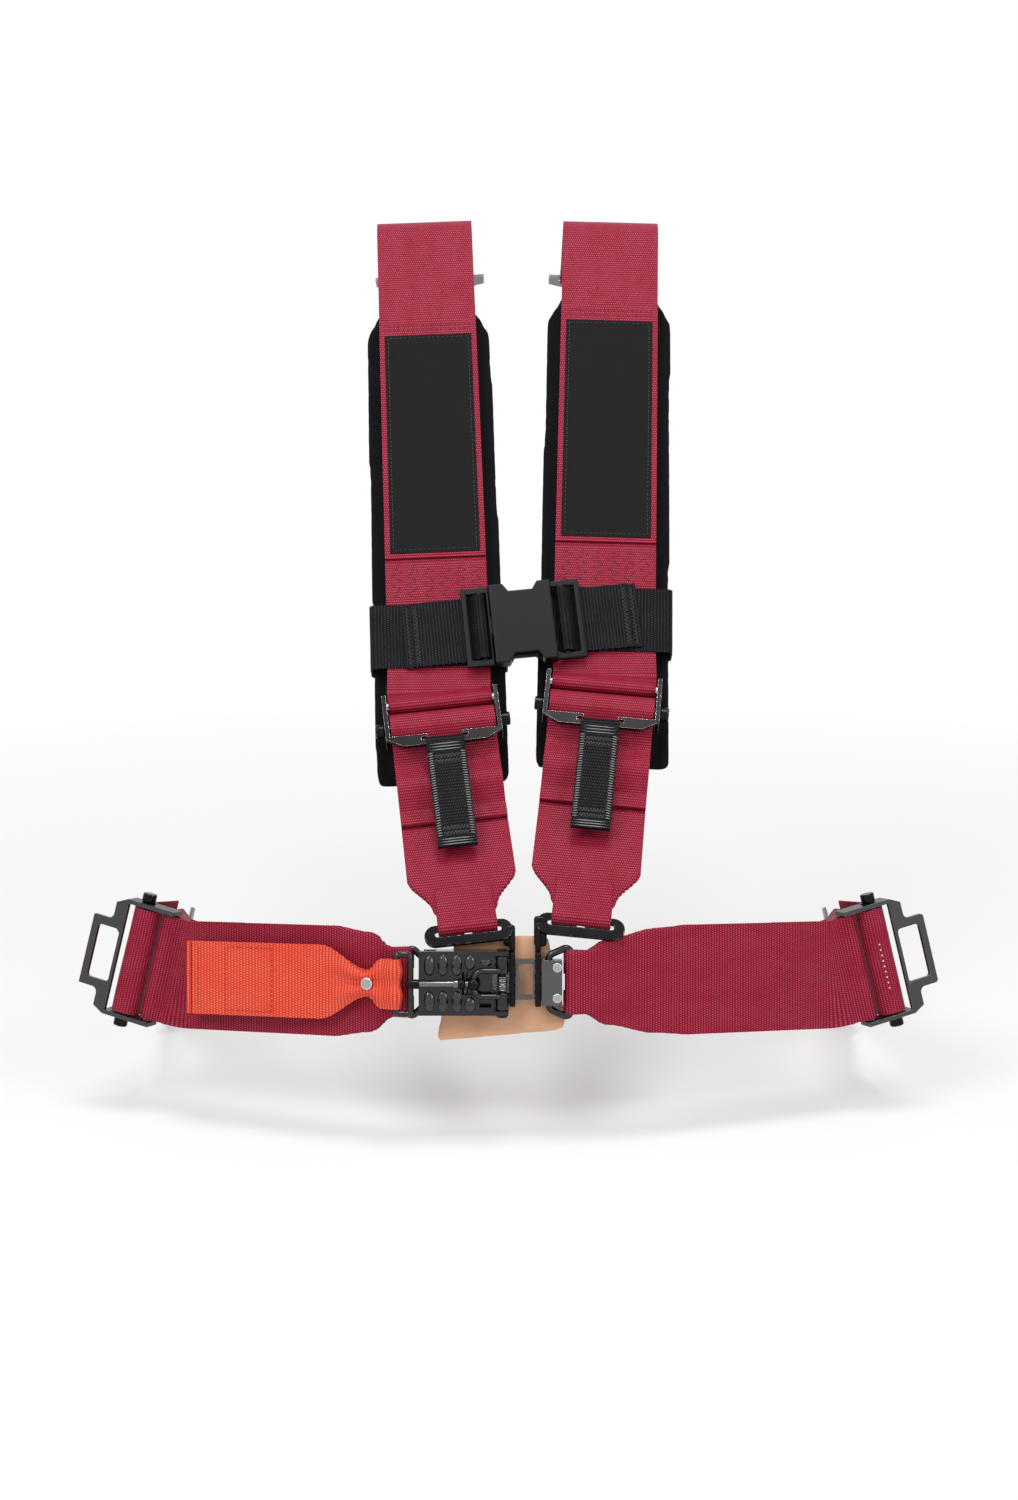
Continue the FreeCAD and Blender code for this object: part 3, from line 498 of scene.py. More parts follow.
def anchor_strap(side):
    anchor = laps[side].anchor
    roll = [(-4 * mm, -60 * mm, 0), (-roll_radius, -30 * mm, 20 * mm),
            (-roll_radius, roll_radius, roll_radius), (roll_top, roll_radius, roll_radius),
            (roll_top, -34 * mm, 30 * mm)]
    corners = corners_at(laps[side].slide, roll) + [corner(anchor, -sewn_lap - 5 * mm, spread, 20 * mm)]
    corners += loop(anchor, 1, anchor_loop, sewn_lap, wide)
    piece = strap(side + "_belt_anchor", corners)
    return webbing(piece, lap_body[side], "crimson_webbing", side + "_anchor_strap", wide)


for side in sides:
    crimson += [lap_strap(side), anchor_strap(side)]

# %% [markdown]
# ## The release strap
# A two-inch orange strap is folded round the bar of the release rod, pinched by a bolt just behind it,
# and opens out again to its full width. It is the strap that opens the latch.

# %% The release strap
strap_bar, strap_out = -84 * mm, 12.5 * mm
release_start = buckle.at(strap_bar, latch_middle, strap_out)
release_end = Vector((-0.243, 0.036, -0.010))
release = Frame(release_start, buckle.along, release_end - release_start)
release_long, bow_width, neck_width = 156 * mm, 34 * mm, 18 * mm
flare = [(11 * mm, bow_width), (20 * mm, neck_width), (56 * mm, narrow)]
front_layer = [corner(release, along, spread, 20 * mm, width) for along, width in flare]
back_layer = [corner(release, along, -spread, 20 * mm, width) for along, width in flare]
turn_round = loop(release, -1, 3.2 * mm, 10 * mm, bow_width, mirror=-1)[:-1]
folded_end = corners_at(release, [(release_long, -spread, 0.8 * mm), (release_long, spread, 0.8 * mm),
                                  (release_long - 3 * mm, spread, 0)], narrow)
corners = [corner(release, release_long - 4 * mm, spread, 0, narrow)]
corners += front_layer[::-1] + turn_round + back_layer + folded_end
orange = strap("release_webbing", corners, depth=2.4 * mm)
webbing(orange, "release", "orange_webbing", "release_strap", narrow)

# %% [markdown]
# ## The sternum strap
# Two short lengths of black webbing are threaded through the ladder ends of a side-release clip: round
# the middle bar, over the outer bar and back on themselves.

# %% Frame of the sternum strap and its two webs
held_at = {side: belts[side].upper.moved(along=ring_height) for side in sides}
gap_line = held_at["right"].origin - held_at["left"].origin
centre = (held_at["right"].origin + held_at["left"].origin) / 2
rising = held_at["left"].along + held_at["right"].along
rising -= gap_line * (rising.dot(gap_line) / gap_line.dot(gap_line))
sternum = Frame(centre, gap_line, rising)
outward = {side: Frame(centre, sternum.along * -sides[side], sternum.across * sides[side]) for side in sides}
web_level, bar_level, bar_half = -3.6 * mm, 1.0 * mm, 2 * mm
frame_reach = {"left": 43 * mm, "right": 45.5 * mm}
web_body = {"left": "sternum_catch", "right": "root"}


def sternum_web(side):
    place = outward[side]
    reach = frame_reach[side]
    bar = reach - 13.5 * mm
    bend = around(2 * bar_half, 2 * bar_half)
    path = [(88 * mm, web_level, 0), (bar + 5 * mm, web_level, 4 * mm), (bar - bend, bar_level - bend, bend),
            (bar - bend, bar_level + bend, bend), (bar + bar_half, bar_level + bend, 2.5 * mm),
            (reach - 5 * mm, web_level + layer, 2.5 * mm), (82 * mm, web_level + layer, 0)]
    piece = strap(side + "_web", corners_at(place, path, narrow), ripple=0.15 * mm, step=2 * mm)
    return webbing(piece, web_body[side], "black_webbing", side + "_sternum_web", narrow)


for side in sides:
    black.append(sternum_web(side))

# %% [markdown]
# ## Materials
# Each effect that several finishes share is a node group: the weave of the webbing, the worn edges of
# painted steel, fine grain and nap. The shaders themselves stay in the materials.

# %% Node helpers
def group(name, inputs, outputs):
    tree = bpy.data.node_groups.new(name, "ShaderNodeTree")
    for label, kind, value in inputs:
        socket = tree.interface.new_socket(label, in_out="INPUT", socket_type="NodeSocket" + kind)
        if value is not None:
            socket.default_value = value
    for label, kind in outputs:
        tree.interface.new_socket(label, in_out="OUTPUT", socket_type="NodeSocket" + kind)
    return tree, tree.nodes.new("NodeGroupInput"), tree.nodes.new("NodeGroupOutput")


def maths(tree, operation, first, second=0.0, third=None):
    node = tree.nodes.new("ShaderNodeMath")
    node.operation = operation
    for k, value in enumerate((first, second, third)):
        if value is None:
            continue
        if hasattr(value, "is_output"):
            tree.links.new(value, node.inputs[k])
        else:
            node.inputs[k].default_value = value
    return node.outputs[0]


def held_in(tree, value):
    """Keeps a value between nought and one."""
    return maths(tree, "MINIMUM", maths(tree, "MAXIMUM", value, 0.0), 1.0)


def blended(tree, share, first, second):
    node = tree.nodes.new("ShaderNodeMix")
    node.data_type = "RGBA"
    for socket, value in ((node.inputs[0], share), (node.inputs[6], first), (node.inputs[7], second)):
        if hasattr(value, "is_output"):
            tree.links.new(value, socket)
        elif isinstance(value, tuple):
            socket.default_value = (*value[:3], 1)
        else:
            socket.default_value = value
    return node.outputs[2]


def speckle(tree, vector, scale, detail=2.0, rough=0.5, kind="ShaderNodeTexNoise"):
    node = tree.nodes.new(kind)
    tree.links.new(vector, node.inputs["Vector"])
    node.inputs["Scale"].default_value = scale
    if kind == "ShaderNodeTexNoise":
        node.inputs["Detail"].default_value = detail
        node.inputs["Roughness"].default_value = rough
    return node.outputs[0]


def gives(tree, out, **values):
    """Joins the results of a group to its outputs."""
    for label, value in values.items():
        tree.links.new(value, out.inputs[label])
    return tree


def stretched(tree, vector, scale):
    node = tree.nodes.new("ShaderNodeVectorMath")
    node.operation = "MULTIPLY"
    tree.links.new(vector, node.inputs[0])
    node.inputs[1].default_value = scale
    return node.outputs[0]


# %% The weave of a strap
def weave_group():
    """Ribs across the strap, crossed by warp yarns in brick order, with a firmer edge."""
    tree, given, out = group("weave",
                             [("UV", "Vector", None), ("Rib", "Float", 2.1 * mm), ("Yarn", "Float", 1.5 * mm),
                              ("Half", "Float", wide / 2)],
                             [("Height", "Float"), ("Crown", "Float"), ("Pick", "Float"), ("Cloud", "Float")])
    uv = given.outputs["UV"]
    split = tree.nodes.new("ShaderNodeSeparateXYZ")
    tree.links.new(uv, split.inputs[0])
    along = maths(tree, "DIVIDE", split.outputs[1], given.outputs["Rib"])
    row = maths(tree, "FLOOR", along)
    odd = maths(tree, "MULTIPLY", maths(tree, "PINGPONG", row, 1.0), 0.5)
    across = maths(tree, "ADD", maths(tree, "DIVIDE", split.outputs[0], given.outputs["Yarn"]), odd)
    rib = maths(tree, "SINE", maths(tree, "MULTIPLY", maths(tree, "FRACT", along), math.pi))
    yarn = maths(tree, "SINE", maths(tree, "MULTIPLY", maths(tree, "FRACT", across), math.pi))
    crown = maths(tree, "MULTIPLY", maths(tree, "POWER", rib, 0.7), maths(tree, "POWER", yarn, 0.55))
    # the selvedge is a tight cord that stands a little higher
    from_edge = maths(tree, "SUBTRACT", given.outputs["Half"], maths(tree, "ABSOLUTE", split.outputs[0]))
    selvedge = maths(tree, "LESS_THAN", from_edge, 1.6 * mm)
    fine = speckle(tree, stretched(tree, uv, (2600, 700, 1)), 1.0, 3.0)
    height = maths(tree, "ADD", crown, maths(tree, "MULTIPLY", fine, 0.35))
    height = maths(tree, "ADD", height, maths(tree, "MULTIPLY", selvedge, 0.25))
    cloud = speckle(tree, stretched(tree, uv, (60, 22, 1)), 1.0, 3.0)
    # where a yarn's crown meets a bright patch of the cloud, the colour gets a painted highlight
    lit = maths(tree, "SUBTRACT", maths(tree, "MULTIPLY", crown, maths(tree, "ADD", cloud, 0.55)), 0.72)
    highlight = held_in(tree, maths(tree, "MULTIPLY", lit, 4.0))
    return gives(tree, out, Height=height, Crown=crown, Pick=highlight, Cloud=cloud)


def wear_group():
    """Where paint has rubbed through on the marked edges, broken up by noise; on the adjusters, a painted
    highlight.
    """
    tree, given, out = group("edge_wear",
                             [("Place", "Vector", None), ("Edge", "Float", 0.0), ("Amount", "Float", 0.5)],
                             [("Worn", "Float"), ("Grain", "Float"), ("Smear", "Float")])
    place = given.outputs["Place"]
    patchy = speckle(tree, place, 420.0, 4.0, 0.65)
    wear_and_glint = maths(tree, "ADD", maths(tree, "MULTIPLY", given.outputs["Edge"], 0.6), patchy)
    wear_and_glint = maths(tree, "SUBTRACT", wear_and_glint, maths(tree, "SUBTRACT", 1.25, given.outputs["Amount"]))
    return gives(tree, out, Worn=held_in(tree, maths(tree, "MULTIPLY", wear_and_glint, 5.0)),
                 Grain=speckle(tree, place, 2600.0, 3.0), Smear=speckle(tree, place, 65.0, 4.0, 0.6))


def nap_group():
    """Short fibres brushed every way, in soft patches."""
    tree, given, out = group("nap", [("Place", "Vector", None), ("Size", "Float", 1.0)],
                             [("Fibre", "Float"), ("Patch", "Float")])
    node = tree.nodes.new("ShaderNodeVectorMath")
    node.operation = "SCALE"
    tree.links.new(given.outputs["Place"], node.inputs[0])
    tree.links.new(given.outputs["Size"], node.inputs["Scale"])
    return gives(tree, out, Fibre=speckle(tree, node.outputs[0], 1500.0, 5.0, 0.7),
                 Patch=speckle(tree, node.outputs[0], 55.0, 3.0, 0.6))


weave, wear, nap = weave_group(), wear_group(), nap_group()


# %% The plain start of every material
paints = {}


def material(name, colour, roughness=0.5, metallic=0.0, **sockets):
    paint = paints[name] = bpy.data.materials.new(name)
    paint.use_nodes = True
    shader = paint.node_tree.nodes["Principled BSDF"]
    shader.inputs["Base Color"].default_value = (*colour, 1)
    shader.inputs["Roughness"].default_value = roughness
    shader.inputs["Metallic"].default_value = metallic
    for label, value in sockets.items():
        shader.inputs[label.replace("_", " ")].default_value = value
    return paint, shader


def painted(thing, name):
    thing.data.materials.clear()
    thing.data.materials.append(paints[name])
    return thing


def uses(paint, tree, **values):
    node = paint.node_tree.nodes.new("ShaderNodeGroup")
    node.node_tree = tree
    for label, value in values.items():
        node.inputs[label].default_value = value
    return node


def source(paint, output):
    return paint.node_tree.nodes.new("ShaderNodeTexCoord").outputs[output]


def bumped(paint, shader, height, strength, distance):
    bump = paint.node_tree.nodes.new("ShaderNodeBump")
    bump.inputs["Strength"].default_value = strength
    bump.inputs["Distance"].default_value = distance
    paint.node_tree.links.new(height, bump.inputs["Height"])
    paint.node_tree.links.new(bump.outputs[0], shader.inputs["Normal"])


# %% Cloth
cloth_rough, nap_rough = 0.5, 0.9


def woven(name, deep, bright, highlight_colour, rib, yarn, half=wide / 2, sheen=0.03, gloss=0.12):
    """Painted shade between the ribs, bright on them, and a painted highlight where a yarn comes to the top.
    """
    paint, shader = material(name, bright, cloth_rough, Sheen_Weight=sheen, Sheen_Roughness=0.4,
                             Sheen_Tint=(*highlight_colour, 1), Specular_IOR_Level=gloss)
    tree = paint.node_tree
    cloth = uses(paint, weave, Rib=rib, Yarn=yarn, Half=half)
    tree.links.new(source(paint, "UV"), cloth.inputs["UV"])
    # the deep colour in the valleys is painted shade; the pale colour laid on the crowns is a painted
    # highlight
    colour = blended(tree, cloth.outputs["Crown"], deep, bright)
    colour = blended(tree, maths(tree, "MULTIPLY", cloth.outputs["Pick"], 0.75), colour, highlight_colour)
    shade = maths(tree, "MULTIPLY", cloth.outputs["Cloud"], 0.5)
    colour = blended(tree, shade, colour, deep)
    tree.links.new(colour, shader.inputs["Base Color"])
    dull = maths(tree, "MULTIPLY_ADD", cloth.outputs["Crown"], -0.18, cloth_rough + 0.1)
    tree.links.new(dull, shader.inputs["Roughness"])
    bumped(paint, shader, cloth.outputs["Height"], 0.55, 0.35 * mm)


def napped(name, deep, bright, size=1.0, height=0.4 * mm, sheen=0.4, gloss=0.2):
    paint, shader = material(name, bright, nap_rough, Sheen_Weight=sheen, Sheen_Roughness=0.5,
                             Specular_IOR_Level=gloss)
    tree = paint.node_tree
    fibres = uses(paint, nap, Size=size)
    tree.links.new(source(paint, "Object"), fibres.inputs["Place"])
    patchy = maths(tree, "MULTIPLY", fibres.outputs["Patch"], 0.5)
    share = maths(tree, "MULTIPLY_ADD", fibres.outputs["Fibre"], 0.5, patchy)
    tree.links.new(blended(tree, share, deep, bright), shader.inputs["Base Color"])
    bumped(paint, shader, fibres.outputs["Fibre"], 0.6, height)


# each cloth: painted shade between its ribs, its own colour on them, and a painted highlight colour
woven("crimson_webbing", (0.10, 0.001, 0.008), (0.42, 0.006, 0.035), (0.72, 0.075, 0.16),
      rib=2.0 * mm, yarn=1.6 * mm, gloss=0.18)
woven("orange_webbing", (0.50, 0.022, 0.010), (0.95, 0.095, 0.05), (1.0, 0.30, 0.18),
      rib=2.3 * mm, yarn=1.7 * mm, half=narrow / 2, gloss=0.18)
woven("black_webbing", (0.0008, 0.0008, 0.001), (0.008, 0.008, 0.010), (0.045, 0.045, 0.055),
      rib=2.4 * mm, yarn=1.8 * mm, half=narrow / 2, sheen=0.0, gloss=0.08)
woven("patch_cloth", (0.006, 0.006, 0.0065), (0.010, 0.010, 0.011), (0.013, 0.013, 0.015),
      rib=0.7 * mm, yarn=0.5 * mm, half=patch_width / 2, sheen=0.0, gloss=0.1)
napped("pad_cloth", (0.001, 0.001, 0.0015), (0.009, 0.009, 0.011), sheen=0.03, gloss=0.08)
napped("tan_suede", (0.50, 0.25, 0.14), (0.80, 0.48, 0.31), size=0.8, height=0.2 * mm, sheen=0.15)
print("cloths:", ", ".join(paints))


# %% Steel, plastic and thread
def steel(name, colour, wear_and_glint_colour, metallic, rough, amount=0.35, coat=0.0, grain=0.1, hammer=0.0,
          gloss=0.3):
    paint, shader = material(name, colour, rough, metallic, Coat_Weight=coat, Coat_Roughness=0.05,
                             Specular_IOR_Level=gloss)
    tree = paint.node_tree
    edges = uses(paint, wear, Amount=amount)
    tree.links.new(source(paint, "Object"), edges.inputs["Place"])
    marked = tree.nodes.new("ShaderNodeAttribute")
    marked.attribute_name = "edge"
    tree.links.new(marked.outputs["Fac"], edges.inputs["Edge"])
    wear_and_glint = edges.outputs["Worn"]
    # the second colour goes on the marked edges: rubbed paint, and on edged_steel a painted highlight line
    tree.links.new(blended(tree, wear_and_glint, colour, wear_and_glint_colour), shader.inputs["Base Color"])
    if metallic < 1:
        tree.links.new(maths(tree, "MULTIPLY_ADD", wear_and_glint, 1.0 - metallic, metallic), shader.inputs["Metallic"])
    dull = maths(tree, "MULTIPLY_ADD", edges.outputs["Smear"], 0.16, rough - 0.06)
    tree.links.new(dull, shader.inputs["Roughness"])
    height = maths(tree, "MULTIPLY", edges.outputs["Grain"], grain)
    if hammer:
        dents = speckle(tree, source(paint, "Object"), 520.0, kind="ShaderNodeTexVoronoi")
        height = maths(tree, "ADD", height, maths(tree, "MULTIPLY", dents, hammer))
    bumped(paint, shader, height, 1.0, 0.12 * mm)


steel("black_steel", (0.003, 0.003, 0.0035), (0.15, 0.15, 0.16), 0.0, 0.14, amount=0.16, coat=0.4, grain=0.05)
# edged_steel: gloss black whose pale second colour is a painted highlight along its marked edges
steel("edged_steel", (0.002, 0.002, 0.0022), (0.75, 0.75, 0.74), 0.0, 0.24, amount=0.32, grain=0.03,
      gloss=0.1)
steel("ribbed_steel", (0.002, 0.002, 0.0024), (0.3, 0.3, 0.3), 0.0, 0.13, amount=0.2, grain=0.3,
      hammer=0.9, gloss=0.75)
steel("black_plastic", (0.005, 0.005, 0.006), (0.02, 0.02, 0.022), 0.0, 0.36, amount=0.3, grain=0.25,
      gloss=0.2)
steel("dark_chrome", (0.016, 0.016, 0.017), (0.22, 0.22, 0.23), 1.0, 0.16, amount=0.12, grain=0.03)
steel("wire_chrome", (0.045, 0.045, 0.047), (0.4, 0.4, 0.4), 1.0, 0.15, amount=0.1, grain=0.01)
steel("satin_steel", (0.07, 0.07, 0.075), (0.3, 0.3, 0.31), 1.0, 0.34, amount=0.25, grain=0.3)
steel("zinc_steel", (0.22, 0.22, 0.23), (0.5, 0.5, 0.51), 1.0, 0.34, grain=0.3)
steel("hammered_steel", (0.11, 0.11, 0.11), (0.42, 0.42, 0.41), 1.0, 0.24, grain=0.3, hammer=2.2)
steel("rod_steel", (0.16, 0.155, 0.15), (0.45, 0.45, 0.44), 1.0, 0.22, amount=0.3, grain=0.1)
steel("bright_steel", (0.42, 0.42, 0.43), (0.7, 0.7, 0.7), 1.0, 0.2, grain=0.08)


def thread(name, colour):
    paint, shader = material(name, colour, 0.6, Sheen_Weight=0.2)
    tree = paint.node_tree
    fibres = uses(paint, nap, Size=2.0)
    tree.links.new(source(paint, "Object"), fibres.inputs["Place"])
    dark = tuple(value * 0.5 for value in colour)
    tree.links.new(blended(tree, fibres.outputs["Fibre"], dark, colour), shader.inputs["Base Color"])
    bumped(paint, shader, fibres.outputs["Fibre"], 0.4, 0.1 * mm)


thread("crimson_thread", (0.22, 0.004, 0.018))
thread("orange_thread", (0.34, 0.018, 0.010))
thread("black_thread", (0.03, 0.03, 0.034))
thread("grey_thread", (0.36, 0.36, 0.35))
thread("white_thread", (0.8, 0.78, 0.76))

for pieces, cloth in ((crimson, "crimson_webbing"), (black, "black_webbing"), (patches, "patch_cloth"),
                      ([orange], "orange_webbing")):
    for piece in pieces:
        painted(piece, cloth)
    print(cloth, "on", len(pieces), "pieces")

# %% [markdown]
# ## Steel with soft edges
# Pressed and cast steel is never sharp. Each steel node is copied, its triangles are joined into flat
# faces again, and its sharp edges are bevelled. The narrow faces along the bevels are marked, and the paint's
# node group wears them bright; on the shoulder adjusters that bright edge is a painted highlight line.

# %% Copies with bevelled edges
body_of = {node: body for body, nodes in frame["record"]["behaviour"]["bodies"].items() for node in nodes}
slot_of = {row["node"]: row["material_slot"] for row in frame["record"]["subparts"]}


def flattened(thing, name):
    """Joins triangles that lie in one plane into one face."""
    only(thing)
    bpy.ops.object.mode_set(mode="EDIT")
    bpy.ops.mesh.select_all(action="SELECT")
    bpy.ops.mesh.remove_doubles(threshold=2e-6)
    bpy.ops.mesh.dissolve_limited(angle_limit=math.radians(0.5))
    bpy.ops.object.mode_set(mode="OBJECT")
    return named(name)


def merged_copy(node, name):
    source_piece = frame["nodes"][node]
    thing = source_piece.copy()
    thing.data = source_piece.data.copy()
    bpy.context.collection.objects.link(thing)
    thing.parent = None
    thing.matrix_world = Matrix.Identity(4)
    thing.modifiers.clear()
    thing.data.materials.clear()
    return flattened(thing, name)


bevel_least, bevel_most, narrow_face = math.radians(15), math.radians(80), 1.3 * mm


def marked(thing):
    """Marks the narrow faces along rounded edges in the attribute that the wear group reads."""
    mesh = thing.data
    beside = {}
    for polygon in mesh.polygons:
        for key in polygon.edge_keys:
            beside.setdefault(key, []).append(polygon)
    turned = set()
    for pair in beside.values():
        if len(pair) == 2 and bevel_least < pair[0].normal.angle(pair[1].normal, 0.0) < bevel_most:
            turned.update(polygon.index for polygon in pair)
    edge = mesh.attributes.new("edge", "FLOAT", "CORNER")
    for index in turned:
        polygon = mesh.polygons[index]
        longest = max((mesh.vertices[first].co - mesh.vertices[last].co).length
                      for first, last in polygon.edge_keys)
        if polygon.area < longest * narrow_face:
            for corner_index in polygon.loop_indices:
                edge.data[corner_index].value = 1.0
    return thing


def bevelled(thing, width=0.4 * mm, segments=2):
    """Rounds the sharp edges. Weighted normals keep the flat faces looking flat beside them."""
    modified(thing, "BEVEL", width=width, segments=segments, limit_method="ANGLE",
             angle_limit=math.radians(30), use_clamp_overlap=True)
    marked(thing)
    smooth(thing, 40)
    return modified(thing, "WEIGHTED_NORMAL", keep_sharp=True)


def picked(thing, test, mode="EDGE"):
    """Goes into edit mode with only the edges or faces that pass the test selected."""
    only(thing)
    bpy.ops.object.mode_set(mode="EDIT")
    bpy.ops.mesh.select_mode(type=mode)
    bpy.ops.mesh.select_all(action="DESELECT")
    bpy.ops.object.mode_set(mode="OBJECT")
    rows = thing.data.edges if mode == "EDGE" else thing.data.polygons
    for row in rows:
        row.select = test(row)
    bpy.ops.object.mode_set(mode="EDIT")


def rounded(thing, test, width, segments=6):
    """Rounds the chosen corners of a plate on a wide arc."""
    picked(thing, test)
    bpy.ops.mesh.bevel(offset=width, segments=segments, affect="EDGES", clamp_overlap=True)
    bpy.ops.object.mode_set(mode="OBJECT")
    return thing


def anywhere(across, along):
    return True


def upright_corner(thing, place, wanted, least):
    """Chooses edges at least this long that run through a plate's thickness, where they are wanted."""
    points = [vertex.co for vertex in thing.data.vertices]

    def test(edge):
        first, last = (points[index] for index in edge.vertices)
        run = last - first
        if run.length < least or abs(run.normalized().dot(place.out)) < 0.98:
            return False
        spot = (first + last) / 2 - place.origin
        return wanted(spot.dot(place.across), spot.dot(place.along))
    return test


def local(place, point):
    point = point - place.origin
    return point.dot(place.across), point.dot(place.along), point.dot(place.out)


def fitted(thing, node):
    """Puts a finished piece in the place of its CAD node."""
    return finished(thing, body_of[node], slot_of[node], node)


def hardware(node, name, width=0.4 * mm, shape=None, paint=None, segments=2):
    """A bevelled copy of a CAD node, reshaped first where a shape is given."""
    thing = merged_copy(node, name)
    if shape:
        shape(thing)
    bevelled(thing, width, segments)
    return fitted(painted(thing, paint or slot_of[node]), node)


# %% Round wire, turned pieces and rounded blocks
def wire(name, points, radius, bends, closed=False, step=8 * mm, sides_round=2):
    """A rod bent round its corners: a path with a round section, made a mesh."""
    if closed:
        start = (points[0] + points[-1]) / 2
        points, bends = [start, *points, start], [0, *bends, 0]
    spots = [row[0] for row in route(list(zip(points, bends)), step)]
    if closed:
        spots.pop()
    bpy.ops.object.select_all(action="DESELECT")
    bpy.ops.curve.primitive_nurbs_path_add()
    path = bpy.context.object.data
    path.splines.clear()
    spline = path.splines.new("POLY")
    spline.points.add(len(spots) - 1)
    for point, spot in zip(spline.points, spots):
        point.co = (*spot, 1)
    spline.use_cyclic_u = closed
    path.dimensions = "3D"
    path.bevel_depth = radius
    path.bevel_resolution = sides_round
    path.use_fill_caps = not closed
    bpy.ops.object.convert(target="MESH")
    thing = named(name)
    bpy.ops.object.mode_set(mode="EDIT")
    bpy.ops.mesh.select_all(action="SELECT")
    bpy.ops.mesh.remove_doubles(threshold=1e-6)
    bpy.ops.mesh.normals_make_consistent(inside=False)
    bpy.ops.object.mode_set(mode="OBJECT")
    return smooth(thing, 50)


def drum(name, start, finish, radius, edge=0.6 * mm):
    bpy.ops.object.select_all(action="DESELECT")
    bpy.ops.mesh.primitive_cylinder_add(vertices=32, radius=radius, depth=(finish - start).length)
    thing = named(name)
    modified(thing, "BEVEL", width=edge, segments=3, limit_method="ANGLE", angle_limit=math.radians(50))
    turn = (finish - start).to_track_quat("Z", "Y").to_matrix().to_4x4()
    return smooth(placed(thing, Matrix.Translation((start + finish) / 2) @ turn), 40)


def dome(name, place, centre, radii):
    """A rounded swelling, with its own half size across, along and out."""
    bpy.ops.object.select_all(action="DESELECT")
    bpy.ops.mesh.primitive_uv_sphere_add(segments=24, ring_count=12, radius=1)
    thing = named(name)
    placed(thing, Matrix.Translation(Vector(centre)) @ Matrix.Diagonal((*radii, 1)))
    return smooth(placed(thing, place.matrix()), 60)


def block(name, place, low, high, edge=0.0, segments=4):
    """A box between two corners given in mm across, along and out."""
    bpy.ops.object.select_all(action="DESELECT")
    bpy.ops.mesh.primitive_cube_add(size=1)
    thing = named(name)
    low, high = Vector(low) * mm, Vector(high) * mm
    placed(thing, Matrix.Translation((low + high) / 2) @ Matrix.Diagonal((*(high - low), 1)))
    if edge:
        modified(thing, "BEVEL", width=edge, segments=segments)
    return smooth(placed(thing, place.matrix()), 40)


def cut(thing, tool):
    """Takes the tool's shape out of the thing, and removes the tool."""
    modified(thing, "BOOLEAN", operation="DIFFERENCE", solver="EXACT", object=tool)
    bpy.data.objects.remove(tool)
    return thing


# %% Hooks
ring_across = {"left": (-6.6, -2.6), "right": (11.0, 15.0)}
arm_top = {"left": 34.0, "right": 38.5}
roll_box = {"left": ((-10.5, 22, -7.4), (-2.6, 37, -2.6)), "right": ((10.2, 22, -7.4), (19.2, 43.0, -2.4))}


def hook(side):
    """A slotted plate with round ends, a thick roll where its arm starts, and the ring on the tongue."""
    lower = belts[side].lower
    plate = block("plate", lower, (-30.5, -13.5, -1.5), (30.5, 2.5, 1.5))
    rounded(plate, upright_corner(plate, lower, anywhere, 2.5 * mm), 7.8 * mm, 8)
    slot = block("slot", lower, (-23, -6.2, -5), (23, -2.5, 5))
    rounded(slot, upright_corner(slot, lower, anywhere, 2.5 * mm), 1.7 * mm, 5)
    bevelled(cut(plate, slot), 0.7 * mm, 3)
    near, far = ring_across[side]
    ring = block("ring", buckle, (near, -18.5, -5.2), (far, 18.5, 5.2), 0.9 * mm)
    cut(ring, block("hole", buckle, (near - 2, -14.5, -2), (far + 2, 14.5, 2)))
    arm = block("arm", buckle, (near, 15, -5.2), (far, arm_top[side], -1.5), 1.2 * mm)
    roll = block("roll", buckle, *roll_box[side], 2.3 * mm)
    parts = [painted(part, "dark_chrome") for part in (plate, ring, arm, roll)]
    return fitted(joined(parts, side + "_hook_plate"), side + "_hook")


# %% Adjusters: a step in the middle of the front plate lets the pull tab through
# the last of these is how far the painted highlight line along the plate's front edge reaches
plate_edge, plate_front, rim_glint_reach = -10.5 * mm, 9.0 * mm, 1.1 * mm


def painted_rim_glint(thing, place):
    """Paints a bright highlight line along the front edge of the plate. The face behind that edge stays
    black.
    """
    wear_and_glint = thing.data.attributes["edge"].data
    for polygon in thing.data.polygons:
        along, out = local(place, polygon.center)[1:]
        # front faces along the edge get a strong mark, which the paint turns into the painted highlight line
        if abs(along - plate_edge) < rim_glint_reach:
            for corner_index in polygon.loop_indices:
                wear_and_glint[corner_index].value = 1.4 * (out > plate_front - rim_glint_reach)


def shoulder_adjuster(side):
    slide, node, name = belts[side].slide, side + "_shoulder_adjuster", side + "_adjuster"
    thing = merged_copy(node, name)
    cut(thing, block("notch", slide, (-12.5, -13.1, 4), (12.5, -9.5, 12)))
    flattened(thing, name)
    picked(thing, lambda face: True, "FACE")
    bpy.ops.mesh.bisect(plane_co=slide.at(0, plate_edge - rim_glint_reach, 0), plane_no=slide.along)
    bpy.ops.object.mode_set(mode="OBJECT")
    bevelled(thing, 0.6 * mm, 3)
    painted_rim_glint(thing, slide)
    return fitted(painted(thing, "edged_steel"), node)


handle_half, handle_top, handle_end = 25.5, -20.0, -35.0
lap_window_half, lap_window_foot, lap_window_top = 19.5, -30.0, -13.0


def near(half, place):
    """Wants the corners this far out on either side, at this place along."""
    reach = 1.2 * mm
    return lambda across, along: abs(abs(across) - half) < reach and abs(along - place) < reach


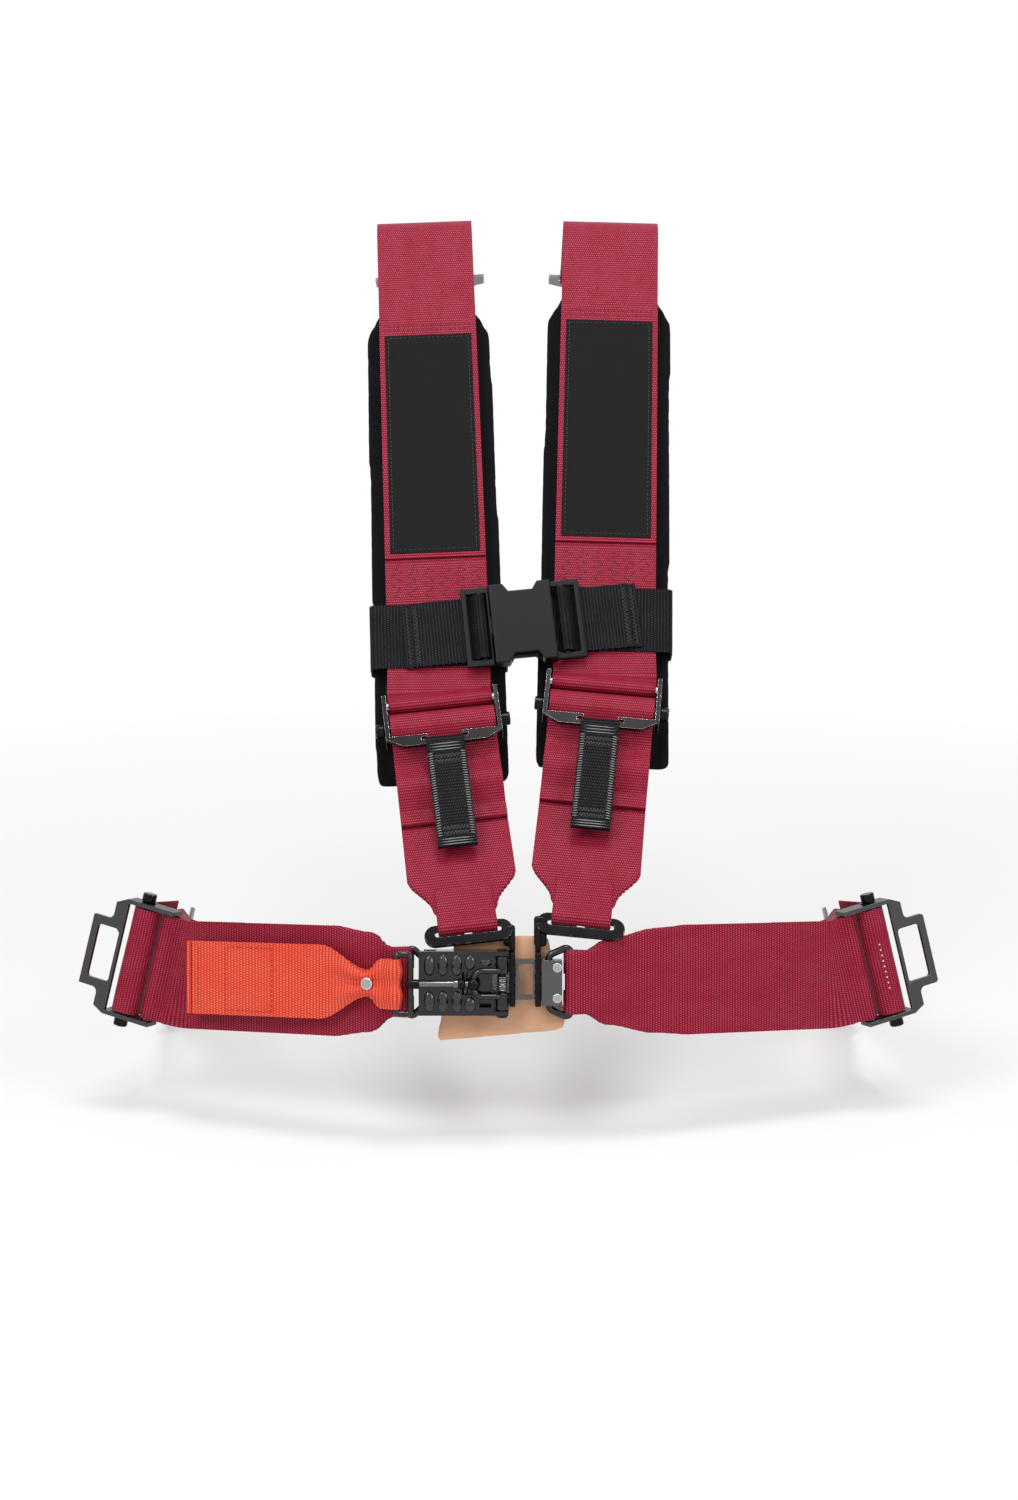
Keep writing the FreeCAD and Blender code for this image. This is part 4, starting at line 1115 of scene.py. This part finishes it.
def handled(side):
    """Cuts the lap adjuster's plate back to a handle round its window, with round corners."""
    slide = laps[side].slide

    def shape(thing):
        for sign in (-1, 1):
            low, high = sorted((sign * handle_half, sign * 60))
            cut(thing, block("corner", slide, (low, handle_end - 5, -1), (high, handle_top, 14)))
        for half, along, radius in ((handle_half, handle_end, 5), (handle_half, handle_top, 4),
                                    (lap_window_half, lap_window_foot, 2.5),
                                    (lap_window_half, lap_window_top, 2.5)):
            rounded(thing, upright_corner(thing, slide, near(half * mm, along * mm), 2 * mm), radius * mm, 5)
    return shape


for side in sides:
    hook(side)
    shoulder_adjuster(side)
    hardware(side + "_lap_adjuster", side + "_lap_adjuster_frame", 0.5 * mm, handled(side), "satin_steel", 3)
    hardware(side + "_shoulder_slide_bar", side + "_slide", 1.4 * mm, segments=4)
    hardware(side + "_lap_slide_bar", side + "_lap_slide_rod", 1.4 * mm, segments=4)
    hardware(side + "_shoulder_anchor", side + "_shoulder_bracket", 0.5 * mm)
    hardware(side + "_lap_anchor", side + "_lap_bracket", 0.5 * mm)

# %% [markdown]
# ## The latch
# The cover is a pressed plate. Each rivet sits on a pressed rib, and slots lighten the end by the lever.
# The ribs are domes sunk into the plate, which is how pressed steel looks from outside.

# %% Latch cover
cover = merged_copy("latch_cover", "latch_plate")
for low, high in ((9.6, 14.2), (-18.6, -14.0)):
    cut(cover, block("slot", buckle, (-27, low, 0), (-19, high, 20)))
bevelled(cover, 0.7 * mm, 3)
painted(cover, "black_steel")
ribs = []
for place, reach, centre, rise in ((-61.3, 7.2, 12.2, 2.2), (-52, 7.2, 12.2, 1.6), (-42.5, 7.2, 12.2, 1.6),
                                   (-33.4, 5.2, 14.2, 2.0)):
    for sign in (1, -1):
        centre_at = Vector((place, sign * centre - 2, 9)) * mm
        rib = dome("rib", buckle, centre_at, Vector((3.7, reach, rise)) * mm)
        ribs.append(painted(rib, "ribbed_steel"))
fitted(joined([cover, *ribs], "latch_plate"), "latch_cover")
hardware("latch_base", "latch_body", 0.5 * mm)
hardware("latch_rivets", "latch_studs", 1.0 * mm, segments=4)
hardware("lever_pin", "lever_axle", 0.5 * mm)
hardware("pawl_pin", "pawl_axle", 0.2 * mm)
hardware("latch_pawl", "pawl", 0.4 * mm)

# %% Lever: a round fork on a thick roller
pin_across, pin_out, bar_across, bar_out = -11.5 * mm, 6.6 * mm, -31 * mm, 11.4 * mm
arm, knee_across = 8.75 * mm, -14.5 * mm
roller_start, roller_end = 6.5 * mm, 18.6 * mm
bends = [0, 3 * mm, 6 * mm, 6 * mm, 3 * mm, 0]
spots = [(pin_across, arm, pin_out + 1 * mm), (knee_across, arm, bar_out), (bar_across, arm, bar_out)]
spots += [(across, -along, out) for across, along, out in reversed(spots)]
spots = [buckle.at(across, latch_middle + along, out) for across, along, out in spots]
fork = wire("fork", spots, 2.0 * mm, bends, step=3 * mm, sides_round=4)
rollers = [drum("roller", buckle.at(pin_across, latch_middle + sign * roller_start, pin_out),
                buckle.at(pin_across, latch_middle + sign * roller_end, pin_out), 4.4 * mm, 1.0 * mm)
           for sign in (1, -1)]
lever = joined([painted(thing, "wire_chrome") for thing in (fork, *rollers)], "lever_fork")
fitted(lever, "latch_lever")

# %% Spring: eight turns of wire round the pin
turns, per_turn, coil_radius, coil_half = 8, 14, 3.2 * mm, 4.9 * mm
coil = [buckle.at(pin_across + coil_radius * math.cos(2 * math.pi * k / per_turn),
                  latch_middle - coil_half + 2 * coil_half * k / (turns * per_turn),
                  pin_out + coil_radius * math.sin(2 * math.pi * k / per_turn))
        for k in range(turns * per_turn + 1)]
spring = wire("spring", coil, 0.5 * mm, [0.1 * mm] * len(coil), step=50 * mm, sides_round=1)
fitted(painted(spring, "zinc_steel"), "lever_spring")


# %% Wire rings
def ring(node, name, inner, outer, inner_half, outer_half):
    spots = [buckle.at(across * mm, latch_middle + along * mm, 0)
             for across, along in ((inner, -inner_half), (outer, -outer_half), (outer, outer_half),
                                   (inner, inner_half))]
    thing = wire(name, spots, 2.5 * mm, [4.4 * mm, 3.4 * mm, 3.4 * mm, 4.4 * mm], closed=True, sides_round=4)
    return fitted(painted(thing, "wire_chrome"), node)


ring("latch_ring", "left_ring", -62, -77, 13.0, 27)
ring("link_ring", "right_ring", 20.5, 35.5, 18.5, 25)

# %% Pull rod: a bright rod with a ball eye on the fork and a wire yoke in the strap
yoke_across, yoke_out, fan = -74 * mm, 12.29 * mm, 20.2 * mm
spots = [buckle.at(across, latch_middle + sign * fan, out)
         for across, out, sign in ((yoke_across, yoke_out, -1), (strap_bar, strap_out, -1),
                                   (strap_bar, strap_out, 1), (yoke_across, yoke_out, 1))]
yoke = painted(wire("yoke", spots, 2.2 * mm, [3 * mm] * 4, closed=True, sides_round=4), "wire_chrome")
eye = buckle.at(bar_across, latch_middle, bar_out)
foot = buckle.at(yoke_across, latch_middle, yoke_out)
shank = painted(drum("shank", eye, foot, 2.0 * mm), "rod_steel")
sleeve = drum("sleeve", eye.lerp(foot, 0.86), eye.lerp(foot, 1.06), 3.3 * mm, 0.8 * mm)
balls = [dome("ball", buckle, (across * mm, latch_middle, out * mm), Vector(radii) * mm)
         for across, out, radii in ((-31, 11.4, (4.5, 4.5, 4.4)), (-39.5, 11.6, (3.6, 3.6, 3.6)))]
for thing in (sleeve, *balls):
    painted(thing, "dark_chrome")
collar = painted(drum("collar", eye.lerp(foot, 0.24), eye.lerp(foot, 0.33), 2.9 * mm, 0.6 * mm), "rod_steel")
fitted(joined([yoke, shank, sleeve, collar, *balls], "pull_rod"), "release_rod")

# %% Link, rivets, bolt and nut
hardware("link_plate", "link_tongue", 0.5 * mm, paint="hammered_steel")
hardware("link_rivets", "link_studs", 0.9 * mm, paint="bright_steel", segments=4)
hardware("release_bolt", "neck_bolt", 0.9 * mm, paint="bright_steel", segments=3)
hardware("release_nut", "neck_nut", 0.4 * mm)

# %% Clip
hardware("sternum_female", "clip_body", 1.4 * mm, segments=4)
hardware("sternum_male", "clip_tongue", 1.0 * mm, segments=3)
hardware("upper_prong", "clip_upper_prong", 0.8 * mm)
hardware("lower_prong", "clip_lower_prong", 0.8 * mm)

# %% [markdown]
# ## Pads
# A pad is foam sewn into cloth: full in the middle and pinched along its edge, where the seam holds the
# two faces together. The flat CAD pad is remeshed evenly and blown up a little as cloth, with the hem
# held. The seam channel is pressed in afterwards, because remeshing would lose it.

# %% Filling a pad
def stuffed(thing, voxel, pressure, cap, held):
    """Remeshes a pad and swells it as cloth. No point moves further than the cap."""
    modified(thing, "REMESH", mode="VOXEL", voxel_size=voxel)
    mesh = thing.data
    start = [vertex.co.copy() for vertex in mesh.vertices]
    fixed = thing.vertex_groups.new(name="held")
    fixed.add([vertex.index for vertex in mesh.vertices if held(vertex.co)], 1.0, "REPLACE")
    only(thing)
    cloth = thing.modifiers.new("cloth", "CLOTH")
    cloth.settings.use_pressure = True
    cloth.settings.uniform_pressure_force = pressure
    cloth.settings.effector_weights.gravity = 0
    cloth.settings.vertex_group_mass = "held"
    cloth.point_cache.frame_end = 20
    for frame_number in range(1, 21):
        bpy.context.scene.frame_set(frame_number)
    bpy.ops.object.modifier_apply(modifier=cloth.name)
    bpy.context.scene.frame_set(1)
    thing.vertex_groups.clear()
    for vertex, before in zip(thing.data.vertices, start):
        move = vertex.co - before
        if move.length > cap:
            vertex.co = before + move * (cap / move.length)
    modified(thing, "SUBSURF", levels=1, render_levels=1)
    return thing


# %% Shoulder pads
pad_foot, pad_top, pad_cut = -58 * mm, 337 * mm, 22 * mm
pad_middle = (pad_face + pad_back) / 2


def from_hem(across, along):
    """How far a point lies inside the pad's outline."""
    corner_cut = (pad_half - abs(across)) * 2 + (pad_top - pad_cut - along)
    return min(pad_half - abs(across), along - pad_foot, pad_top - along, corner_cut / math.sqrt(5))


def fullness(inset):
    """The share of the pad's thickness at this distance from the hem: binding, seam, then foam."""
    binding = 0.42 - 0.14 * eased((inset - 4 * mm) / (3 * mm))
    return binding + (1 - binding) * eased((inset - 8 * mm) / (13 * mm))


def shoulder_pad(side):
    upper = belts[side].upper
    thing = merged_copy(side + "_shoulder_pad", side + "_pad")
    stuffed(thing, 5 * mm, 3.0, 5 * mm, lambda point: from_hem(*local(upper, point)[:2]) < 6 * mm)
    for vertex in thing.data.vertices:
        across, along, out = local(upper, vertex.co)
        out = pad_middle + (out - pad_middle) * fullness(from_hem(across, along))
        out += 0.5 * mm * noise.noise(Vector((across, along, 0)) * 28)
        across = max(-pad_half, min(pad_half, across))
        under = abs(across) < 41 * mm
        looped = abs(along - ring_height) < 28 * mm
        out = max(pad_back - (0 if looped else 1.5 * mm), min(pad_face - (0.1 * mm if under else 0), out))
        vertex.co = upper.at(across, along, out)
    finished(painted(smooth(thing, 60), "pad_cloth"), "root", "pad_cloth", side + "_shoulder_pad")


for side in sides:
    shoulder_pad(side)


# %% Suede pad behind the buckle
def suede_pad():
    thing = merged_copy("buckle_pad", "suede_pad")
    rounded(thing, upright_corner(thing, buckle, anywhere, 5 * mm), 5 * mm, 5)
    bevelled(thing, 1.6 * mm, 4)
    front = -6.4 * mm
    stuffed(thing, 2.5 * mm, 1.0, 1.0 * mm, lambda point: local(buckle, point)[2] > front - 1 * mm)
    for vertex in thing.data.vertices:
        across, along, out = local(buckle, vertex.co)
        vertex.co = buckle.at(across, along, min(out, front))
    finished(painted(smooth(thing, 60), "tan_suede"), "root", "tan_suede", "buckle_pad")


suede_pad()

# %% [markdown]
# ## Stitching
# Every seam is real thread: short rounded stitches laid where a ray meets the cloth, so they follow its
# surface. One stitch is modelled and copied along each seam.

# %% The stitch, and patterns of stitches
bpy.ops.object.select_all(action="DESELECT")
bpy.ops.mesh.primitive_uv_sphere_add(segments=6, ring_count=4, radius=0.5)
pattern = named("stitch")
stitch_points = [vertex.co.copy() for vertex in pattern.data.vertices]
stitch_faces = [tuple(polygon.vertices) for polygon in pattern.data.polygons]
bpy.data.objects.remove(pattern)


stitch_long, stitch_gap = 2.6 * mm, 1.0 * mm


def dashes(path):
    """Running stitches along a path of flat points."""
    pairs = []
    for first, last in zip(path, path[1:]):
        first, last = Vector(first), Vector(last)
        count = max(1, round((last - first).length / (stitch_long + stitch_gap)))
        share = stitch_long / (stitch_long + stitch_gap)
        pairs += [(first.lerp(last, k / count), first.lerp(last, (k + share) / count)) for k in range(count)]
    return pairs


def zigzag(first, last, half, pitch):
    first, last = Vector(first), Vector(last)
    run = last - first
    side_step = Vector((-run.y, run.x)).normalized() * half
    count = max(2, round(run.length / pitch))
    spots = [first + run * (k / count) + side_step * (1 if k % 2 else -1) for k in range(count + 1)]
    return list(zip(spots, spots[1:]))


def zigzags(half, heights, depth, pitch):
    return [pair for height in heights
            for pair in zigzag((-half * mm, height * mm), (half * mm, height * mm), depth, pitch)]


def across_rows(half, *heights):
    """Running stitches straight across the cloth at these heights in mm."""
    return [pair for height in heights
            for pair in dashes([(-half * mm, height * mm), (half * mm, height * mm)])]


def along_rows(foot, top, *places):
    """Running stitches straight along the cloth at these places in mm."""
    return [pair for across in places for pair in dashes([(across * mm, foot * mm), (across * mm, top * mm)])]


def outlined(half, foot, top):
    return dashes([(-half, foot), (half, foot), (half, top), (-half, top), (-half, foot)])


fine, bold = 0.55 * mm, 0.7 * mm
seen_from, proud = 15 * mm, 0.15      # a stitch stands off the cloth by this share of its width


def sewn(name, cloth, place, pairs, paint, body, slot, width=fine):
    """Lays the stitches on the cloth, seen along the place's out direction."""
    bpy.context.view_layer.update()
    points, faces = [], []
    for pair in pairs:
        ends = [cloth.ray_cast(place.at(*spot, seen_from), -place.out, distance=2 * seen_from)
                for spot in pair]
        if not all(end[0] for end in ends):
            continue
        first, last = ends[0][1], ends[1][1]
        run = last - first
        side_way = run.cross(place.out).normalized() * width
        halfway, first_index = (first + last) / 2 + place.out * width * proud, len(points)
        points += [halfway + side_way * point.x + run * point.y + place.out * (point.z * width)
                   for point in stitch_points]
        faces += [tuple(index + first_index for index in face) for face in stitch_faces]
    mesh = bpy.data.meshes.new(name)
    mesh.from_pydata(points, [], faces)
    thing = bpy.data.objects.new(name, mesh)
    bpy.context.collection.objects.link(thing)
    only(thing)
    bpy.ops.object.mode_set(mode="EDIT")
    bpy.ops.mesh.select_all(action="SELECT")
    bpy.ops.mesh.normals_make_consistent(inside=False)
    bpy.ops.object.mode_set(mode="OBJECT")
    print(name, "has", len(points) // len(stitch_points), "stitches")
    return finished(painted(smooth(thing, 80), paint), body, slot)


# %% Seams of the shoulder belts
cloths = {piece.name: piece for piece in crimson + black + patches + [orange]}
patch_inset = 2.6 * mm


def belt_seams(side):
    belt, tab = belts[side], side + "_tab"
    edges = [((sign * 9.6 * mm, -(10 + 2.0 * k) * mm), (sign * 13.6 * mm, -(10.7 + 2.0 * k) * mm))
             for sign in (-1, 1) for k in range(34)]
    # the three grey rows across each end of the tab are painted highlights on its ribbed, folded ends
    edges += [((-13 * mm, along * mm), (13 * mm, along * mm)) for along in (-4, -6, -8, -79.5, -81.5, -83.5)]
    sewn(side + "_tab_whips_and_end_glints", cloths[tab], tab_rim(side), edges, "grey_thread", tab, "black_webbing", bold)
    tacks = zigzags(9, (-13, -17, -71, -75), 1.6 * mm, 1.2 * mm)
    sewn(side + "_tab_tacks", cloths[tab], tab_rim(side), tacks, "black_thread", tab, "black_webbing", bold)
    border = outlined(patch_width / 2 - patch_inset, patch_foot + patch_inset, patch_top - patch_inset)
    sewn(side + "_patch_border", cloths[side + "_patch"], belt.upper, border, "black_thread", "root",
         "blank_patch")
    top_rows = across_rows(35, sleeve_top / mm - 4, sleeve_top / mm - 8)
    sewn(side + "_sleeve_rows", cloths[side + "_sleeve"], belt.upper, top_rows, "crimson_thread", "root",
         "crimson_webbing")
    zone = [pair for across in (-30, -18, -6, 6, 18, 30)
            for pair in zigzag((across * mm, 87 * mm), (across * mm, 113 * mm), 4.6 * mm, 3.6 * mm)]
    sewn(side + "_sewn_zone", cloths[side + "_belt_upper"], belt.upper, zone, "crimson_thread", "root",
         "crimson_webbing", bold)
    sewn(side + "_hem_rows", cloths[side + "_belt_lower"], belt.slide, across_rows(35, -70, -66.5),
         "crimson_thread", "root", "crimson_webbing")
    sewn(side + "_web_columns", cloths[side + "_web"], outward[side],
         zigzags(23, (78, 84), 1.7 * mm, 1.5 * mm), "black_thread", web_body[side], "black_webbing")


for side in sides:
    belt_seams(side)

# %% Seams of the lap belts and the release strap
for side in sides:
    seams = outlined(32 * mm, 12 * mm, 66 * mm) + outlined(25 * mm, 19 * mm, 59 * mm)
    seams += along_rows(19, 59, -12, 0, 12)
    sewn(side + "_lap_seams", cloths[side + "_belt_lap"], laps[side].fixed, seams, "crimson_thread",
         lap_body[side], "crimson_webbing")
seams = across_rows(23, 147, 126, 91) + along_rows(91, 126, -22, 22)
sewn("release_rows", orange, release, seams, "orange_thread", "release", "orange_webbing", bold)

# a short row of plain white stitches shows on the roll of one lap belt
dots = [((across * mm, 3.2 * mm), ((across + 1.5) * mm, 3.2 * mm)) for across in range(-20, 16, 4)]
sewn("right_roll_stitches", cloths["right_belt_anchor"], laps["right"].slide, dots, "white_thread",
     "link_side", "crimson_webbing", 1.3 * mm)

# %% [markdown]
# ## Floor, light and camera
# A plain pale floor, three soft lamps and a pale world show the harness at a plain level of light.

# %% Stage
def floor(height):
    bpy.ops.object.select_all(action="DESELECT")
    bpy.ops.mesh.primitive_plane_add(size=40, location=(0, 0, height))
    sheet = named("stage_floor")
    bpy.ops.object.transform_apply(location=True)
    paint, shader = material("stage_paint", (0.9, 0.9, 0.9), roughness=0.9)
    tree = paint.node_tree
    glow, mix = tree.nodes.new("ShaderNodeEmission"), tree.nodes.new("ShaderNodeMixShader")
    far = tree.nodes.new("ShaderNodeVectorMath")
    far.operation = "LENGTH"
    tree.links.new(source(paint, "Object"), far.inputs[0])
    away = maths(tree, "MINIMUM", maths(tree, "MULTIPLY_ADD", far.outputs["Value"], 0.45, 0.25), 1.0)
    camera_ray = tree.nodes.new("ShaderNodeLightPath").outputs["Is Camera Ray"]
    tree.links.new(maths(tree, "MULTIPLY", away, camera_ray), mix.inputs[0])
    tree.links.new(shader.outputs[0], mix.inputs[1])
    tree.links.new(glow.outputs[0], mix.inputs[2])
    tree.links.new(mix.outputs[0], tree.nodes["Material Output"].inputs["Surface"])
    sheet.data.materials.append(paint)


floor(cad_box[0][2] - 2 * mm)


def lamp(name, place, size, power):
    bpy.ops.object.light_add(type="AREA", location=place)
    light = bpy.context.object
    light.name = name
    light.data.size = size
    light.data.energy = power
    light.rotation_euler = (Vector((0, 0.12, 0.15)) - Vector(place)).to_track_quat("-Z", "Y").to_euler()
    return light


lamp("lamp_left", (-1.3, -1.3, 1.9), 0.9, 24)
lamp("lamp_right", (1.7, -1.2, 1.2), 0.8, 12)
lamp("lamp_top", (0.1, -0.3, 2.3), 0.7, 22)
world = bpy.data.worlds.new("studio")
bpy.context.scene.world = world
world.use_nodes = True
nodes, links = world.node_tree.nodes, world.node_tree.links
path = nodes.new("ShaderNodeLightPath")
seen = maths(world.node_tree, "MAXIMUM", path.outputs["Is Camera Ray"], path.outputs["Is Transmission Ray"])
seen = maths(world.node_tree, "MAXIMUM", seen, path.outputs["Is Glossy Ray"])
nodes["Background"].inputs["Color"].default_value = (1, 1, 1, 1)
links.new(maths(world.node_tree, "MULTIPLY_ADD", seen, 0.55, 0.45), nodes["Background"].inputs["Strength"])

# %% Camera
bpy.ops.object.camera_add(location=(-0.0069, -1.3102, 0.4393), rotation=(math.radians(78), 0, 0))
camera = bpy.context.object
camera.name = "camera"
camera.data.sensor_width = 36
camera.data.lens = 48
bpy.context.scene.camera = camera
bpy.context.scene.view_settings.view_transform = "Standard"
print("camera", camera.location[:])
